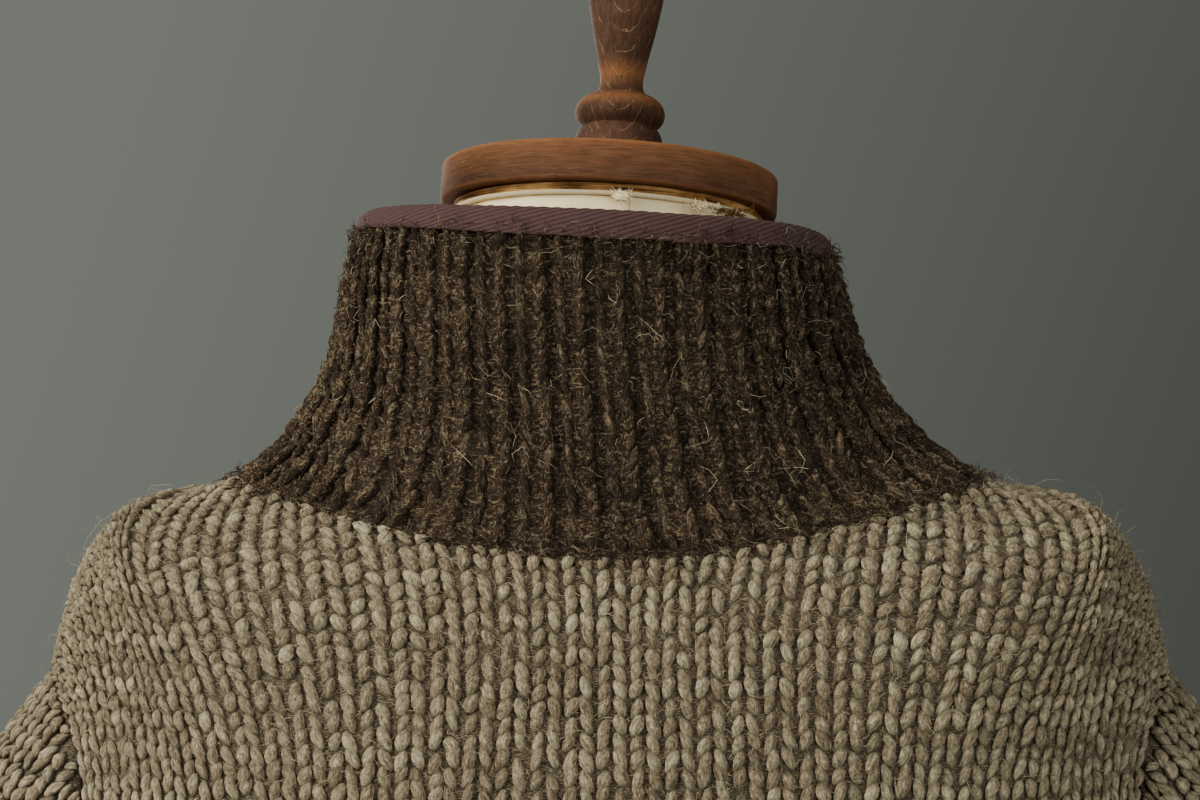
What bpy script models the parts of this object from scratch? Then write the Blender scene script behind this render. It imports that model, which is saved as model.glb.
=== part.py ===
"""Hand-knitted mock neck sweater with a quarter zip, worn by a limbless dress form on a wooden stand.

Metres, +Z up. The origin is on the floor, at the centre of the stand. The zip faces -Y, and the wearer's
left is +X. Every height in the tables is measured from the underside of the neck cap.
"""

import math

import bmesh
import bpy
import numpy as np
from mathutils import Matrix

# ---------------------------------------------------------------- driving dimensions
CAP_HEIGHT = 1.500  # underside of the neck cap above the floor
WALL = 0.0045  # thickness of the knitted cloth
SEAM_GAP = 0.0003  # between two pieces at a seam
PARTING = SEAM_GAP / 2 + 0.00004  # how far each piece stands back, for the flat facets too
CLOTH_ABOVE_FORM = 0.0017  # nominal gap at the ridge of the shoulder, which the flat facets narrow

NECK_LEAN = math.radians(3.0)  # the form's neck and cap lean to the wearer's right
LEAN_PIVOT = -0.060  # height where the lean starts
NECK_SHIFT = 0.0038  # the neck's foot stands a little to the wearer's left
FINIAL_SHIFT = -0.0025  # the finial is turned in off the cap's centre

HEM = -0.740
HEM_RIB_TOP = -0.680
UNDERARM = -0.385
YOKE = -0.215  # above this height the panels turn over the shoulders
YOKE_RISE = 1.17  # how far the cloth rises before it turns, as for a round arc
ZIP_BOTTOM = -0.305

NECK_HALF_WIDTH = 0.139  # the neck opening, where the collar is sewn on
NECK_BACK = 0.097
NECK_FRONT = 0.095
NECK_SIDE_HEIGHT = -0.100
NECK_BACK_DROP = 0.031
NECK_FRONT_DROP = 0.068
NECK_DIP = 1.7  # how fast the seam falls from the side to the centre
NECK_SIDE_TURN = math.radians(97.0)  # from the centre back round to the shoulder seam
NECK_SHARE = 0.68  # part of a panel's stitches that ends at the neck
SLIT_HALF = 0.0078  # from the zip's centre to the knitted edge on each side
SLIT_SHARE = 0.040  # where that edge lies across half of the front

# Sections of the body: height, half width, depth behind, depth in front, roundness, x of the panel's edge.
BODY_SECTIONS = (
    # height, width, back, front, round, edge
    (HEM, 0.186, 0.121, 0.119, 2.35, 0.186),
    (HEM_RIB_TOP, 0.194, 0.128, 0.126, 2.30, 0.194),
    (-0.620, 0.199, 0.132, 0.130, 2.25, 0.199),
    (-0.540, 0.200, 0.132, 0.130, 2.22, 0.200),
    (-0.460, 0.199, 0.131, 0.130, 2.18, 0.199),
    (UNDERARM, 0.198, 0.131, 0.130, 2.12, 0.198),
    (-0.368, 0.199, 0.131, 0.130, 2.10, 0.194),
    (-0.350, 0.199, 0.131, 0.130, 2.08, 0.188),
    (ZIP_BOTTOM, 0.200, 0.131, 0.129, 2.04, 0.181),
    (-0.260, 0.200, 0.129, 0.125, 2.00, 0.179),
    (YOKE, 0.200, 0.125, 0.119, 2.00, 0.180),
)

# Soft folds of the lower body: side, place across the panel, foot and head heights, width, depth, lean.
BODY_FOLDS = (
    # side, share, foot, head, width, depth, lean
    (1, 0.70, -0.682, -0.420, 0.20, -0.0080, -0.07),
    (1, 0.30, -0.682, -0.520, 0.18, -0.0040, 0.05),
    (1, -0.24, -0.682, -0.500, 0.20, -0.0045, -0.04),
    (1, -0.68, -0.682, -0.405, 0.22, -0.0085, 0.08),
    (-1, 0.64, -0.682, -0.405, 0.22, -0.0080, -0.08),
    (-1, 0.22, -0.682, -0.500, 0.18, -0.0040, 0.05),
    (-1, -0.34, -0.682, -0.460, 0.20, -0.0060, -0.05),
    (-1, -0.74, -0.682, -0.425, 0.20, -0.0070, 0.08),
)

FOLD_RIDGE = 0.45  # each trough has a ridge beside it, this much of its depth
FOLD_RIDGE_PLACE = 1.6  # and this many of its widths away

# How the cloth lies where it meets the collar, from the centre (0) to the shoulder seam (1): lift of its
# face, heading of its stitches in plan, and how full it is before it arrives.
NECK_FACING = (
    # share, lift, heading in degrees, fullness
    (0.00, 28.0, 0.0, 1.05),
    (0.31, 33.0, 5.0, 1.10),
    (0.62, 50.0, 18.0, 1.45),
    (1.00, 74.0, 38.0, 2.00),
)

# The shoulder seam, a little in front of the ridge: x, y, height, heading and fullness of the cloth.
SHOULDER_SEAM = (
    # x, y, height, heading, fullness
    (0.1380, -0.0118, -0.1010, 38.0, 2.00),
    (0.1600, -0.0120, -0.1052, 24.0, 1.90),
    (0.1740, -0.0115, -0.1103, 14.0, 1.70),
    (0.1855, -0.0110, -0.1195, 8.0, 1.50),
    (0.1945, -0.0100, -0.1340, 4.0, 1.35),
    (0.1998, -0.0090, -0.1500, 2.0, 1.20),
    (0.2040, -0.0080, -0.1685, 0.0, 1.10),
)
SEAM_FORWARD_TILT = math.radians(4.0)
FRONT_FULLNESS = 0.60  # of the front's cloth, which only comes up to the ridge, against the back's

# The collar from its seam (0) to its top edge (1): share of height, half width, back, front, sideways shift.
COLLAR_SECTIONS = (
    # share, width, back, front, shift
    (0.00, NECK_HALF_WIDTH, NECK_BACK, NECK_FRONT, 0.0),
    (0.10, 0.1245, 0.0915, 0.0895, 0.0013),
    (0.23, 0.1130, 0.0865, 0.0850, 0.0027),
    (0.36, 0.1046, 0.0830, 0.0820, 0.0036),
    (0.54, 0.0976, 0.0795, 0.0795, 0.0057),
    (0.73, 0.0938, 0.0775, 0.0780, 0.0069),
    (1.00, 0.0868, 0.0750, 0.0765, 0.0075),
)
COLLAR_TOP_BACK = -0.0135
COLLAR_TOP_SIDE = 0.0060  # rise of the sides over the back
COLLAR_TOP_TILT = 0.0038  # the wearer's left side stands higher
COLLAR_TOP_FRONT = -0.0400  # fall of the centre front below the sides
BINDING_THICKNESS = 0.0012
BINDING_DEPTH = 0.0078
BINDING_INSET = 0.0018  # the bound edge is pressed thinner than the rest

# Sections of the sleeve: height, centre x, centre y, half depth, half thickness, tilt off level in degrees.
SLEEVE_SECTIONS = (
    # height, x, y, depth, thickness, tilt
    (-0.408, 0.2390, 0.0000, 0.0640, 0.0345, 14.0),
    (-0.470, 0.2520, -0.0020, 0.0600, 0.0330, 11.0),
    (-0.540, 0.2630, -0.0060, 0.0540, 0.0310, 9.0),
    (-0.600, 0.2710, -0.0110, 0.0490, 0.0295, 8.0),
    (-0.648, 0.2765, -0.0150, 0.0440, 0.0275, 6.0),
    (-0.712, 0.2810, -0.0200, 0.0390, 0.0255, 4.0),
)
SLEEVE_HEAD_HEIGHT = SLEEVE_SECTIONS[0][0]  # the first whole section below the armhole
SLEEVE_HEAD_STEP = 0.010  # down from it, to see which way the sleeve runs there
SLEEVE_LEAVES = (0.45, 0.12)  # how the cloth leaves the armhole: outwards and upwards
SLEEVE_ARRIVES = 0.9  # fullness with which it comes down to the first section
# Soft folds of the sleeve: turn in degrees, foot and head heights, width in degrees, depth, lean.
SLEEVE_FOLDS = (
    # turn, foot, head, width, depth, lean
    (60.0, -0.560, -0.430, 34.0, -0.0050, 90.0),
    (-75.0, -0.600, -0.450, 36.0, -0.0055, -70.0),
    (140.0, -0.620, -0.480, 30.0, -0.0040, -60.0),
)

# The dress form: height, half width, depth behind, depth in front, roundness.
FORM_SECTIONS = (
    # height, width, back, front, roundness
    (-0.800, 0.150, 0.108, 0.106, 2.2),
    (-0.790, 0.158, 0.114, 0.112, 2.2),
    (-0.740, 0.164, 0.116, 0.114, 2.2),
    (-0.660, 0.166, 0.112, 0.110, 2.2),
    (-0.580, 0.156, 0.100, 0.102, 2.1),
    (-0.500, 0.146, 0.094, 0.100, 2.1),
    (-0.430, 0.148, 0.098, 0.106, 2.1),
    (-0.360, 0.158, 0.106, 0.112, 2.1),
    (-0.300, 0.166, 0.112, 0.114, 2.1),
    (-0.240, 0.172, 0.111, 0.103, 2.1),
    (-0.190, 0.178, 0.103, 0.089, 2.1),
    (-0.155, 0.184, 0.092, 0.077, 2.1),
)
# Above these the form follows the ridge of the shoulder seam, then its own neck.
FORM_SHOULDERS = (
    # share of the seam from the neck, depth behind, depth in front, roundness
    (0.75, 0.084, 0.070, 1.90),
    (0.50, 0.075, 0.063, 1.70),
    (0.25, 0.070, 0.060, 1.36),
    (0.00, 0.067, 0.058, 1.26),
)
FORM_NECK = (
    # height, width, back, front, roundness
    (-0.0990, 0.108, 0.0650, 0.0580, 1.50),
    (-0.0870, 0.086, 0.0615, 0.0570, 1.75),
    (-0.0700, 0.070, 0.0585, 0.0562, 1.95),
    (-0.0500, 0.061, 0.0565, 0.0560, 2.00),
    (-0.0250, 0.0565, 0.0560, 0.0560, 2.00),
)
NECK_RADIUS = 0.0560
STEP_RING = (0.0040, 0.0585)  # thickness and radius of the worn ring under the cap
STEP_CHAMFER = 0.0012
TOUCH = 0.0003  # between two solids that lie on each other

# Turned profiles, from the axis at the foot to the axis at the top: radius, height.
CAP_PROFILE = (
    (0.0000, 0.0000),
    (0.0600, 0.0000),
    (0.0622, 0.0008),
    (0.0630, 0.0026),
    (0.0630, 0.0118),
    (0.0622, 0.0136),
    (0.0600, 0.0145),
    (0.0000, 0.0145),
)
FINIAL_PROFILE = (
    (0.0000, 0.0000),
    (0.0162, 0.0000),
    (0.0160, 0.0016),
    (0.0136, 0.0046),
    (0.0122, 0.0090),
    (0.0126, 0.0125),
    (0.0152, 0.0152),
    (0.0170, 0.0200),
    (0.0158, 0.0252),
    (0.0122, 0.0285),
    (0.0088, 0.0305),
    (0.0080, 0.0340),
    (0.0090, 0.0410),
    (0.0116, 0.0530),
    (0.0140, 0.0660),
    (0.0150, 0.0760),
    (0.0140, 0.0850),
    (0.0104, 0.0915),
    (0.0078, 0.0950),
    (0.0090, 0.0990),
    (0.0116, 0.1050),
    (0.0112, 0.1130),
    (0.0072, 0.1190),
    (0.0000, 0.1210),
)
POLE_FOOT_PROFILE = (
    (0.0000, 0.0000),
    (0.0300, 0.0000),
    (0.0300, 0.0120),
    (0.0225, 0.0240),
    (0.0175, 0.0500),
)
POLE_HEAD_PROFILE = (
    # radius, depth below the form
    (0.0175, 0.0590),
    (0.0230, 0.0340),
    (0.0380, 0.0190),
    (0.0380, 0.0000),
    (0.0000, 0.0000),
)
BASE_PROFILE = (
    (0.0000, 0.0000),
    (0.2060, 0.0000),
    (0.2100, 0.0060),
    (0.2100, 0.0200),
    (0.2040, 0.0280),
    (0.1900, 0.0310),
    (0.0800, 0.0420),
    (0.0560, 0.0520),
    (0.0480, 0.0640),
    (0.0380, 0.0700),
    (0.0000, 0.0700),
)

# The zip: its tapes, then the slider with its arch, and the pull tab on it.
TAPE_REACH = 0.0145  # from the zip's centre to a tape's outer edge, which is sewn behind the knitted edge
TAPE_THICKNESS = 0.0011
TAPE_CLEAR = 0.0004  # from the tape to the cloth in front of it
TAPE_TOP = 0.0020  # below the collar's top edge
TAPE_END = 0.0100  # below the slit's foot
TAPE_WIDENS = 0.0042  # below the binding, where the tape spreads to its full width behind the cloth
STEP_REACH = 0.0002  # half the height of a step in a tape's edge
BRIDGE_END = 0.0016  # above the slider's middle, where the tapes come together
CHAIN_GAP = 0.0004  # between the two tapes
ZIP_LOOK = 0.0040  # how far either way the zip's direction is read
BRIDGE_SLOT = 0.0022  # from the centre to each tape where the slider's bridge stands
SLIDER_FALL = 0.0085  # from the collar's top edge down to the slider's middle
SLIDER_WIDTH = 0.0086
SLIDER_LENGTH = 0.0110
SLIDER_PLATE = 0.0012
SLIDER_CHANNEL = 0.0036
BRIDGE_WIDTH = 0.0026
BRIDGE_LENGTH = 0.0028
ARCH_WIDTH = 0.0022
ARCH_WINDOW = 0.0030
ARCH_POST = 0.0012
ARCH_BAR = 0.0010
PIN_HEIGHT = 0.00105  # of the pull's pin above the slider's front plate
PIN_SIZE = 0.0014
JOIN_OVERLAP = 0.0003  # of two boxes that become one solid
PULL_WIDTH = 0.0082
PULL_SLOT_WIDTH = 0.0034
PULL_SLOT_LENGTH = 0.0042
PULL_LENGTH = 0.0300
STOP_SIZE = (0.0064, 0.0026, 0.0012)
STOP_ABOVE_FOOT = 0.0040

# ---------------------------------------------------------------- how finely each piece is faceted
PANEL_COLUMNS = 24
LOWER_HEIGHTS = (
    *(HEM_RIB_TOP, -0.620, -0.560, -0.500, -0.440),
    *(UNDERARM, -0.366, -0.345, ZIP_BOTTOM, -0.260, YOKE),
)
YOKE_ROWS = 6
ZIP_TURN = math.radians(4.0)  # the collar's stations this near the centre front are its edges at the zip
COLLAR_ROWS = 6
RIB_ROWS = 2
SLEEVE_CAP_ROWS = 6
SLEEVE_HEIGHTS = (-0.440, -0.475, -0.510, -0.545, -0.580, -0.615, -0.648)
FORM_SIDES = 36
TURNED_SIDES = 40
FINIAL_SIDES = 28
POLE_SIDES = 24


# ---------------------------------------------------------------- materials and scene
def clear_scene():
    for item in list(bpy.data.objects):
        bpy.data.objects.remove(item, do_unlink=True)


def finish(name, colour, roughness, metallic=0.0):
    """A plain finish: linear colour, roughness and metallic value."""
    material = bpy.data.materials.new(name)
    material.use_nodes = True
    shader = material.node_tree.nodes["Principled BSDF"]
    shader.inputs["Base Color"].default_value = (*colour, 1.0)
    shader.inputs["Roughness"].default_value = roughness
    shader.inputs["Metallic"].default_value = metallic
    return material


def add_object(name, mesh, material):
    mesh.materials.append(material)
    piece = bpy.data.objects.new(name, mesh)
    bpy.context.scene.collection.objects.link(piece)
    return piece


def mesh_from_bmesh(name, shape):
    bmesh.ops.recalc_face_normals(shape, faces=shape.faces)
    mesh = bpy.data.meshes.new(name)
    shape.to_mesh(mesh)
    shape.free()
    return mesh


def smooth_shaded(piece, sharp=math.radians(40.0)):
    piece.data.shade_smooth()
    piece.data.set_sharp_from_angle(angle=sharp)
    return piece


# ---------------------------------------------------------------- curves and surfaces
def unit(vectors):
    return vectors / np.linalg.norm(vectors, axis=-1, keepdims=True)


def spline(stations, rows, at):
    """A smooth curve through rows, one at each station, read at the places in at."""
    stations, rows, at = (np.asarray(value, float) for value in (stations, rows, at))
    if stations[0] > stations[-1]:
        stations, rows = stations[::-1], rows[::-1]
    span = np.diff(stations)[:, None]
    slope = np.diff(rows, axis=0) / span
    between = (slope[1:] * span[:-1] + slope[:-1] * span[1:]) / (span[1:] + span[:-1])
    tangent = np.vstack([slope[:1], between, slope[-1:]])
    index = np.clip(np.searchsorted(stations, at, side="right") - 1, 0, len(stations) - 2)
    width = span[index]
    s = ((at - stations[index])[:, None]) / width
    return (
        (2 * s**3 - 3 * s**2 + 1) * rows[index]
        + (s**3 - 2 * s**2 + s) * width * tangent[index]
        + (3 * s**2 - 2 * s**3) * rows[index + 1]
        + (s**3 - s**2) * width * tangent[index + 1]
    )


def hermite(start, start_tangent, end, end_tangent, s):
    """Points at the shares s along one smooth stretch. The result's first axis is s."""
    s = np.asarray(s, float).reshape(-1, *([1] * np.ndim(start)))
    return (
        (2 * s**3 - 3 * s**2 + 1) * start
        + (s**3 - 2 * s**2 + s) * start_tangent
        + (3 * s**2 - 2 * s**3) * end
        + (s**3 - s**2) * end_tangent
    )


def bump(distance):
    """1 at the middle, 0 from a distance of 1 on, smooth between."""
    return np.where(np.abs(distance) < 1, np.cos(np.clip(distance, -1, 1) * math.pi / 2) ** 2, 0.0)


def body_section(height, shares, side):
    """A level section of the back (side 1) or the front (side -1), at shares from -1 to 1 of its half width.

    The points are evenly spaced along the cloth. It returns them with the directions in which they face.
    """
    table = np.array(BODY_SECTIONS)
    width, back, front, roundness, edge = spline(table[:, 0], table[:, 1:], [height])[0]
    depth = back if side > 0 else front
    power = 2 / roundness
    last = math.asin(min(1.0, (min(edge, width) / width) ** (1 / power)))
    angle = np.linspace(0, last, 400)
    x, y = width * np.sin(angle) ** power, depth * np.cos(angle) ** power
    length = np.concatenate([[0], np.cumsum(np.hypot(np.diff(x), np.diff(y)))])
    shares = np.asarray(shares, float)
    place = np.interp(np.abs(shares) * length[-1], length, angle)
    x, y = width * np.sin(place) ** power * np.sign(shares), side * depth * np.cos(place) ** power
    facing = np.stack(
        [
            np.sign(shares) * np.abs(x / width) ** (roundness - 1) / width,
            side * np.abs(y / depth) ** (roundness - 1) / depth,
            np.zeros_like(x),
        ],
        axis=-1,
    )
    points = np.stack([x, y, np.full_like(x, height)], axis=-1)
    facing = unit(facing)
    return points + facing * fold_depth(height, shares, side)[:, None], facing


def fold_depth(height, shares, side):
    """How far the folds push the cloth out (or in, if negative) at this height."""
    depth = np.zeros_like(shares)
    for fold_side, share, foot, head, width, deep, lean in BODY_FOLDS:
        if fold_side != side or not foot < height < head:
            continue
        rise = (height - foot) / (head - foot)
        strength = math.sin(math.pi * rise**0.7) ** 0.8
        middle = share + lean * rise * width * 2
        trough = bump((shares - middle) / width)
        ridge = bump((shares - middle) / width - FOLD_RIDGE_PLACE)
        depth += deep * strength * (trough - FOLD_RIDGE * ridge)
    return depth


def neck_seam(turns):
    """Points of the seam between body and collar, from the centre back (0) to the centre front (pi)."""
    turns = np.asarray(turns, float)
    behind = np.cos(turns) >= 0
    drop = np.where(behind, NECK_BACK_DROP, NECK_FRONT_DROP)
    depth = np.where(behind, NECK_BACK, NECK_FRONT)
    return np.stack(
        [
            NECK_HALF_WIDTH * np.sin(turns),
            depth * np.cos(turns),
            NECK_SIDE_HEIGHT - drop * (1 - np.abs(np.sin(turns)) ** NECK_DIP),
        ],
        axis=-1,
    )


def neck_turns(shares, side):
    """Where the wales at these shares of the half panel reach the neck seam."""
    part = np.clip(np.abs(shares) / NECK_SHARE, 0, 1)
    end = NECK_SIDE_TURN if side > 0 else math.pi - NECK_SIDE_TURN
    turn = end * (0.61 * part + 0.39 * part**3)
    return turn if side > 0 else math.pi - turn


def along_surface(heading, facing):
    """The direction in which wales run on cloth with this facing, for a heading in plan."""
    return unit(heading - (heading * facing).sum(-1, keepdims=True) * facing)


def top_edge(shares, side):
    """Points, facing and arriving stitches (their length is the fullness) along the top of a panel."""
    shares = np.asarray(shares, float)
    mirror = np.where(shares < 0, -1.0, 1.0)[:, None] * [1, 0, 0] + [0, 1, 1]
    turns = neck_turns(shares, side)
    at_neck = neck_seam(turns)
    from_centre = turns / NECK_SIDE_TURN if side > 0 else (math.pi - turns) / (math.pi - NECK_SIDE_TURN)
    table = np.array(NECK_FACING)
    lies = spline(table[:, 0], table[:, 1:], from_centre)
    lift, heading, neck_fullness = np.radians(lies[:, 0]), np.radians(lies[:, 1]), lies[:, 2]
    depth = np.where(np.cos(turns) >= 0, NECK_BACK, NECK_FRONT)
    outward = unit(np.stack([np.sin(turns) / NECK_HALF_WIDTH, np.cos(turns) / depth, 0 * turns], axis=-1))
    facing = outward * np.cos(lift)[:, None] + np.array([0, 0, 1]) * np.sin(lift)[:, None]
    plan = np.stack([-np.sin(heading), -side * np.cos(heading), 0 * heading], axis=-1)
    wales = along_surface(plan, facing)

    rows = np.array(SHOULDER_SEAM)
    run = np.concatenate([[0], np.cumsum(np.linalg.norm(np.diff(rows[:, :3], axis=0), axis=1))])
    part = np.clip((np.abs(shares) - NECK_SHARE) / (1 - NECK_SHARE), 0, 1) * run[-1]
    on_seam = spline(run, rows, part)
    ahead, behind = (spline(run, rows[:, :3], np.clip(part + step, 0, run[-1])) for step in (1e-4, -1e-4))
    tangent = unit(ahead - behind)
    up = unit(np.stack([-tangent[:, 2], 0 * part, tangent[:, 0]], axis=-1))
    forward = np.array([0, -1.0, 0])
    seam_facing = up * math.cos(SEAM_FORWARD_TILT) + forward * math.sin(SEAM_FORWARD_TILT)
    heading = np.radians(on_seam[:, 3])
    plan = np.stack([-np.sin(heading), -side * np.cos(heading), 0 * heading], axis=-1)
    seam_wales = along_surface(plan, seam_facing)

    over_shoulder = (np.abs(shares) > NECK_SHARE)[:, None]
    points = np.where(over_shoulder, on_seam[:, :3], at_neck)
    facing = np.where(over_shoulder, seam_facing, facing)
    fullness = np.where(over_shoulder[:, 0], on_seam[:, 4], neck_fullness)
    if side < 0:
        fullness = 1 + (fullness - 1) * FRONT_FULLNESS
    wales = np.where(over_shoulder, seam_wales, wales) * fullness[:, None]
    return points * mirror, facing * mirror, wales * mirror


def panel(heights, shares, yoke_shares, side):
    """Outer points of the back or front panel, rows from the foot up, and how its edges face."""
    rows = [body_section(height, shares, side) for height in heights]
    below, _ = body_section(heights[-1] - 0.002, shares, side)
    start = rows[-1][0]
    top, top_facing, wales = top_edge(shares, side)
    reach = np.linalg.norm(top - start, axis=-1, keepdims=True)
    curve = hermite(start, unit(start - below) * reach * YOKE_RISE, top, wales * reach, yoke_shares)
    points = np.concatenate([np.stack([row[0] for row in rows]), curve])
    return points, np.stack([row[1] for row in rows]), top_facing


def armhole_facing(points, level_facing):
    """How the cloth faces along the armhole's edge: outwards, but downwards at the underarm."""
    height = points[:, 2]
    sink = np.clip((-0.335 - height) / (-0.335 - UNDERARM), 0, 1)
    sink = (sink**2 * (3 - 2 * sink))[:, None]
    mirror = np.sign(points[:, :1])
    down = np.concatenate([0.15 * mirror, 0 * mirror, -1 + 0 * mirror], axis=1)
    return unit(level_facing * (1 - sink) + down * sink)


def grid_facing(points, outward, closed=False):
    """Unit normals of a grid of points, turned to the same side as outward."""
    if closed:
        across = np.roll(points, -1, axis=1) - np.roll(points, 1, axis=1)
    else:
        across = np.gradient(points, axis=1)
    normals = unit(np.cross(across, np.gradient(points, axis=0)))
    flip = np.sign((normals * outward).sum(-1).mean())
    return normals * flip


def part_seam(outer, inner, edge, closed=False):
    """Moves one edge of a wall half a gap away from its seam, square to the seam's own face."""
    line, beside = {
        "top": ((-1,), (-2,)),
        "foot": ((0,), (1,)),
        "left": ((slice(None), 0), (slice(None), 1)),
        "right": ((slice(None), -1), (slice(None), -2)),
    }[edge]
    if closed:
        along = np.roll(outer[line], -1, axis=0) - np.roll(outer[line], 1, axis=0)
    else:
        along = np.gradient(outer[line], axis=0)
    away = unit(np.cross(along, outer[line] - inner[line]))
    away *= np.sign(((outer[beside] - outer[line]) * away).sum())
    outer[line] += away * PARTING
    inner[line] += away * PARTING


def wall(name, outer, inner, material, closed=False, keep=None):
    """A closed solid between two grids of points. keep marks the cells that hold cloth."""
    rows, columns = outer.shape[:2]
    across = columns if closed else columns - 1
    if keep is None:
        keep = np.ones((rows - 1, across), bool)
    offset = CAP_HEIGHT * np.array([0, 0, 1])
    points = np.concatenate([outer.reshape(-1, 3), inner.reshape(-1, 3)]) + offset
    inside = rows * columns
    shape = bmesh.new()
    used = {}

    def corner(index):
        if index not in used:
            used[index] = shape.verts.new(points[index])
        return used[index]

    def quad(*indices):
        shape.faces.new([corner(index) for index in indices])

    sides = {}
    for row in range(rows - 1):
        for column in range(across):
            if not keep[row, column]:
                continue
            beside = (column + 1) % columns
            low, high = row * columns, (row + 1) * columns
            cell = (low + column, low + beside, high + beside, high + column)
            quad(*cell)
            quad(*(index + inside for index in reversed(cell)))
            for start, end in zip(cell, cell[1:] + cell[:1]):
                sides[start, end] = True
    for start, end in sides:
        if (end, start) not in sides:
            quad(end, start, start + inside, end + inside)
    bmesh.ops.triangulate(shape, faces=shape.faces, quad_method="SHORT_EDGE")
    return smooth_shaded(add_object(name, mesh_from_bmesh(name, shape), material))


def turned(name, profile, material, sides):
    """A turned solid about the z axis, from its radii and heights."""
    shape = bmesh.new()
    line = [shape.verts.new((radius, 0, level)) for radius, level in profile]
    edges = [shape.edges.new(pair) for pair in zip(line, line[1:])]
    about = {"axis": (0, 0, 1), "cent": (0, 0, 0)}
    bmesh.ops.spin(shape, geom=line + edges, angle=math.tau, steps=sides, use_merge=True, **about)
    bmesh.ops.remove_doubles(shape, verts=shape.verts, dist=1e-6)
    return smooth_shaded(add_object(name, mesh_from_bmesh(name, shape), material))


# ---------------------------------------------------------------- the knitted pieces
def panel_shares(side):
    """Stations across a panel. Back, front and collar share those at the shoulder and side seams."""
    half = PANEL_COLUMNS // 2
    neck = round(half * NECK_SHARE)
    start = 0 if side > 0 else SLIT_SHARE
    at_neck = np.linspace(start, NECK_SHARE, neck + 1)
    left = np.concatenate([at_neck, np.linspace(NECK_SHARE, 1, half - neck + 1)[1:]])
    right = -left[::-1]
    return np.concatenate([right[:-1] if side > 0 else right, left])


def yoke_stations():
    return np.linspace(0, 1, YOKE_ROWS + 1)[1:]


def body_grid(side, heights=LOWER_HEIGHTS):
    """Outer and inner points of a panel before its seams are parted."""
    shares = panel_shares(side)
    outer, level_facing, top_facing = panel(heights, shares, yoke_stations(), side)
    if side < 0:
        middle = len(shares) // 2
        outer[:, middle - 1, 0], outer[:, middle, 0] = -SLIT_HALF, SLIT_HALF
    facing = grid_facing(outer, outer * [1, 1, 0])
    for row, height in enumerate(heights):
        if height <= HEM_RIB_TOP:
            facing[row] = level_facing[row]
    for column in (0, -1):
        edge = outer[:, column]
        in_yoke = np.repeat(level_facing[-1:, column], YOKE_ROWS, axis=0)
        level = np.concatenate([level_facing[:, column], in_yoke])
        # From the yoke up the edge turns from the level facing to the shoulder tip's.
        rise = np.concatenate([np.zeros(len(heights)), yoke_stations()])[:, None]
        blended = unit(level * (1 - rise) + top_facing[column] * rise)
        above = armhole_facing(edge, blended)
        sideways = np.array([np.sign(edge[0, 0]), 0, 0])
        underarm_row = heights.index(UNDERARM)
        facing[:underarm_row, column] = sideways
        facing[underarm_row:, column] = above[underarm_row:]
    facing[-1] = top_facing
    return outer, outer - facing * WALL


def make_back(material):
    outer, inner = body_grid(1)
    for edge in ("top", "foot", "left", "right"):
        part_seam(outer, inner, edge)
    return wall("back", outer, inner, material)


def slit_cells(columns, heights=LOWER_HEIGHTS):
    """All cells of the front but those of the zip's slit."""
    rows = len(heights) - 1 + YOKE_ROWS
    keep = np.ones((rows, columns - 1), bool)
    keep[heights.index(ZIP_BOTTOM) :, (columns - 1) // 2] = False
    return keep


def make_front(material):
    outer, inner = body_grid(-1)
    for edge in ("top", "foot", "left", "right"):
        part_seam(outer, inner, edge)
    return wall("front", outer, inner, material, keep=slit_cells(outer.shape[1]))


def make_hem_rib(name, side, material):
    shares = panel_shares(side)
    heights = np.linspace(HEM, HEM_RIB_TOP, RIB_ROWS + 1)
    rows = [body_section(height, shares, side) for height in heights]
    outer = np.stack([row[0] for row in rows])
    facing = np.stack([row[1] for row in rows])
    inner = outer - facing * WALL
    for edge in ("top", "left", "right"):
        part_seam(outer, inner, edge)
    return wall(name, outer, inner, material)


def neck_shares():
    """The stations that end at the neck: all of the back's, and the front's left half but the last."""
    back, front = panel_shares(1), panel_shares(-1)
    end = NECK_SHARE + 1e-9
    return back[np.abs(back) <= end], front[(front > 0) & (front < end - 2e-9)]


def collar_turns():
    """Stations round the collar from one side of the zip by the back to the other side."""
    back, front = neck_shares()
    half = neck_turns(front, -1)
    behind = neck_turns(back, 1) * np.sign(back)
    return np.concatenate([-half, behind, half[::-1]])


def collar_top_height(turns):
    sideways = np.sin(turns)
    front = np.where(np.cos(turns) < 0, COLLAR_TOP_FRONT * np.cos(turns) ** 2, 0)
    return COLLAR_TOP_BACK + COLLAR_TOP_SIDE * sideways**2 + COLLAR_TOP_TILT * sideways + front


def collar_points(turns, shares):
    """Outer points of the collar: rows at shares of its height, columns round the neck."""
    table = np.array(COLLAR_SECTIONS)
    width, back, front, shift = spline(table[:, 0], table[:, 1:], shares).T[:, :, None]
    foot = neck_seam(np.abs(turns))[:, 2]
    shares = np.asarray(shares)[:, None]
    depth = np.where(np.cos(turns) >= 0, back, front)
    # The sideways lean of the collar dies out towards the zip, which stays in the middle.
    x = width * np.sin(turns) + shift * (1 - ((1 - np.cos(turns)) / 2) ** 2)
    y = depth * np.cos(turns)
    at_zip = np.abs(turns) > math.pi - ZIP_TURN
    x = np.where(at_zip, np.sign(turns) * SLIT_HALF, x)
    z = foot * (1 - shares) + collar_top_height(turns) * shares
    return np.stack([x, y, z], axis=-1)


def neck_edge_facing():
    """How the body faces along the neck seam, at the collar's stations."""
    back, front = neck_shares()
    runs = ((-front, -1), (back, 1), (front[::-1], -1))
    return np.concatenate([top_edge(shares, side)[1] for shares, side in runs])


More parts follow.
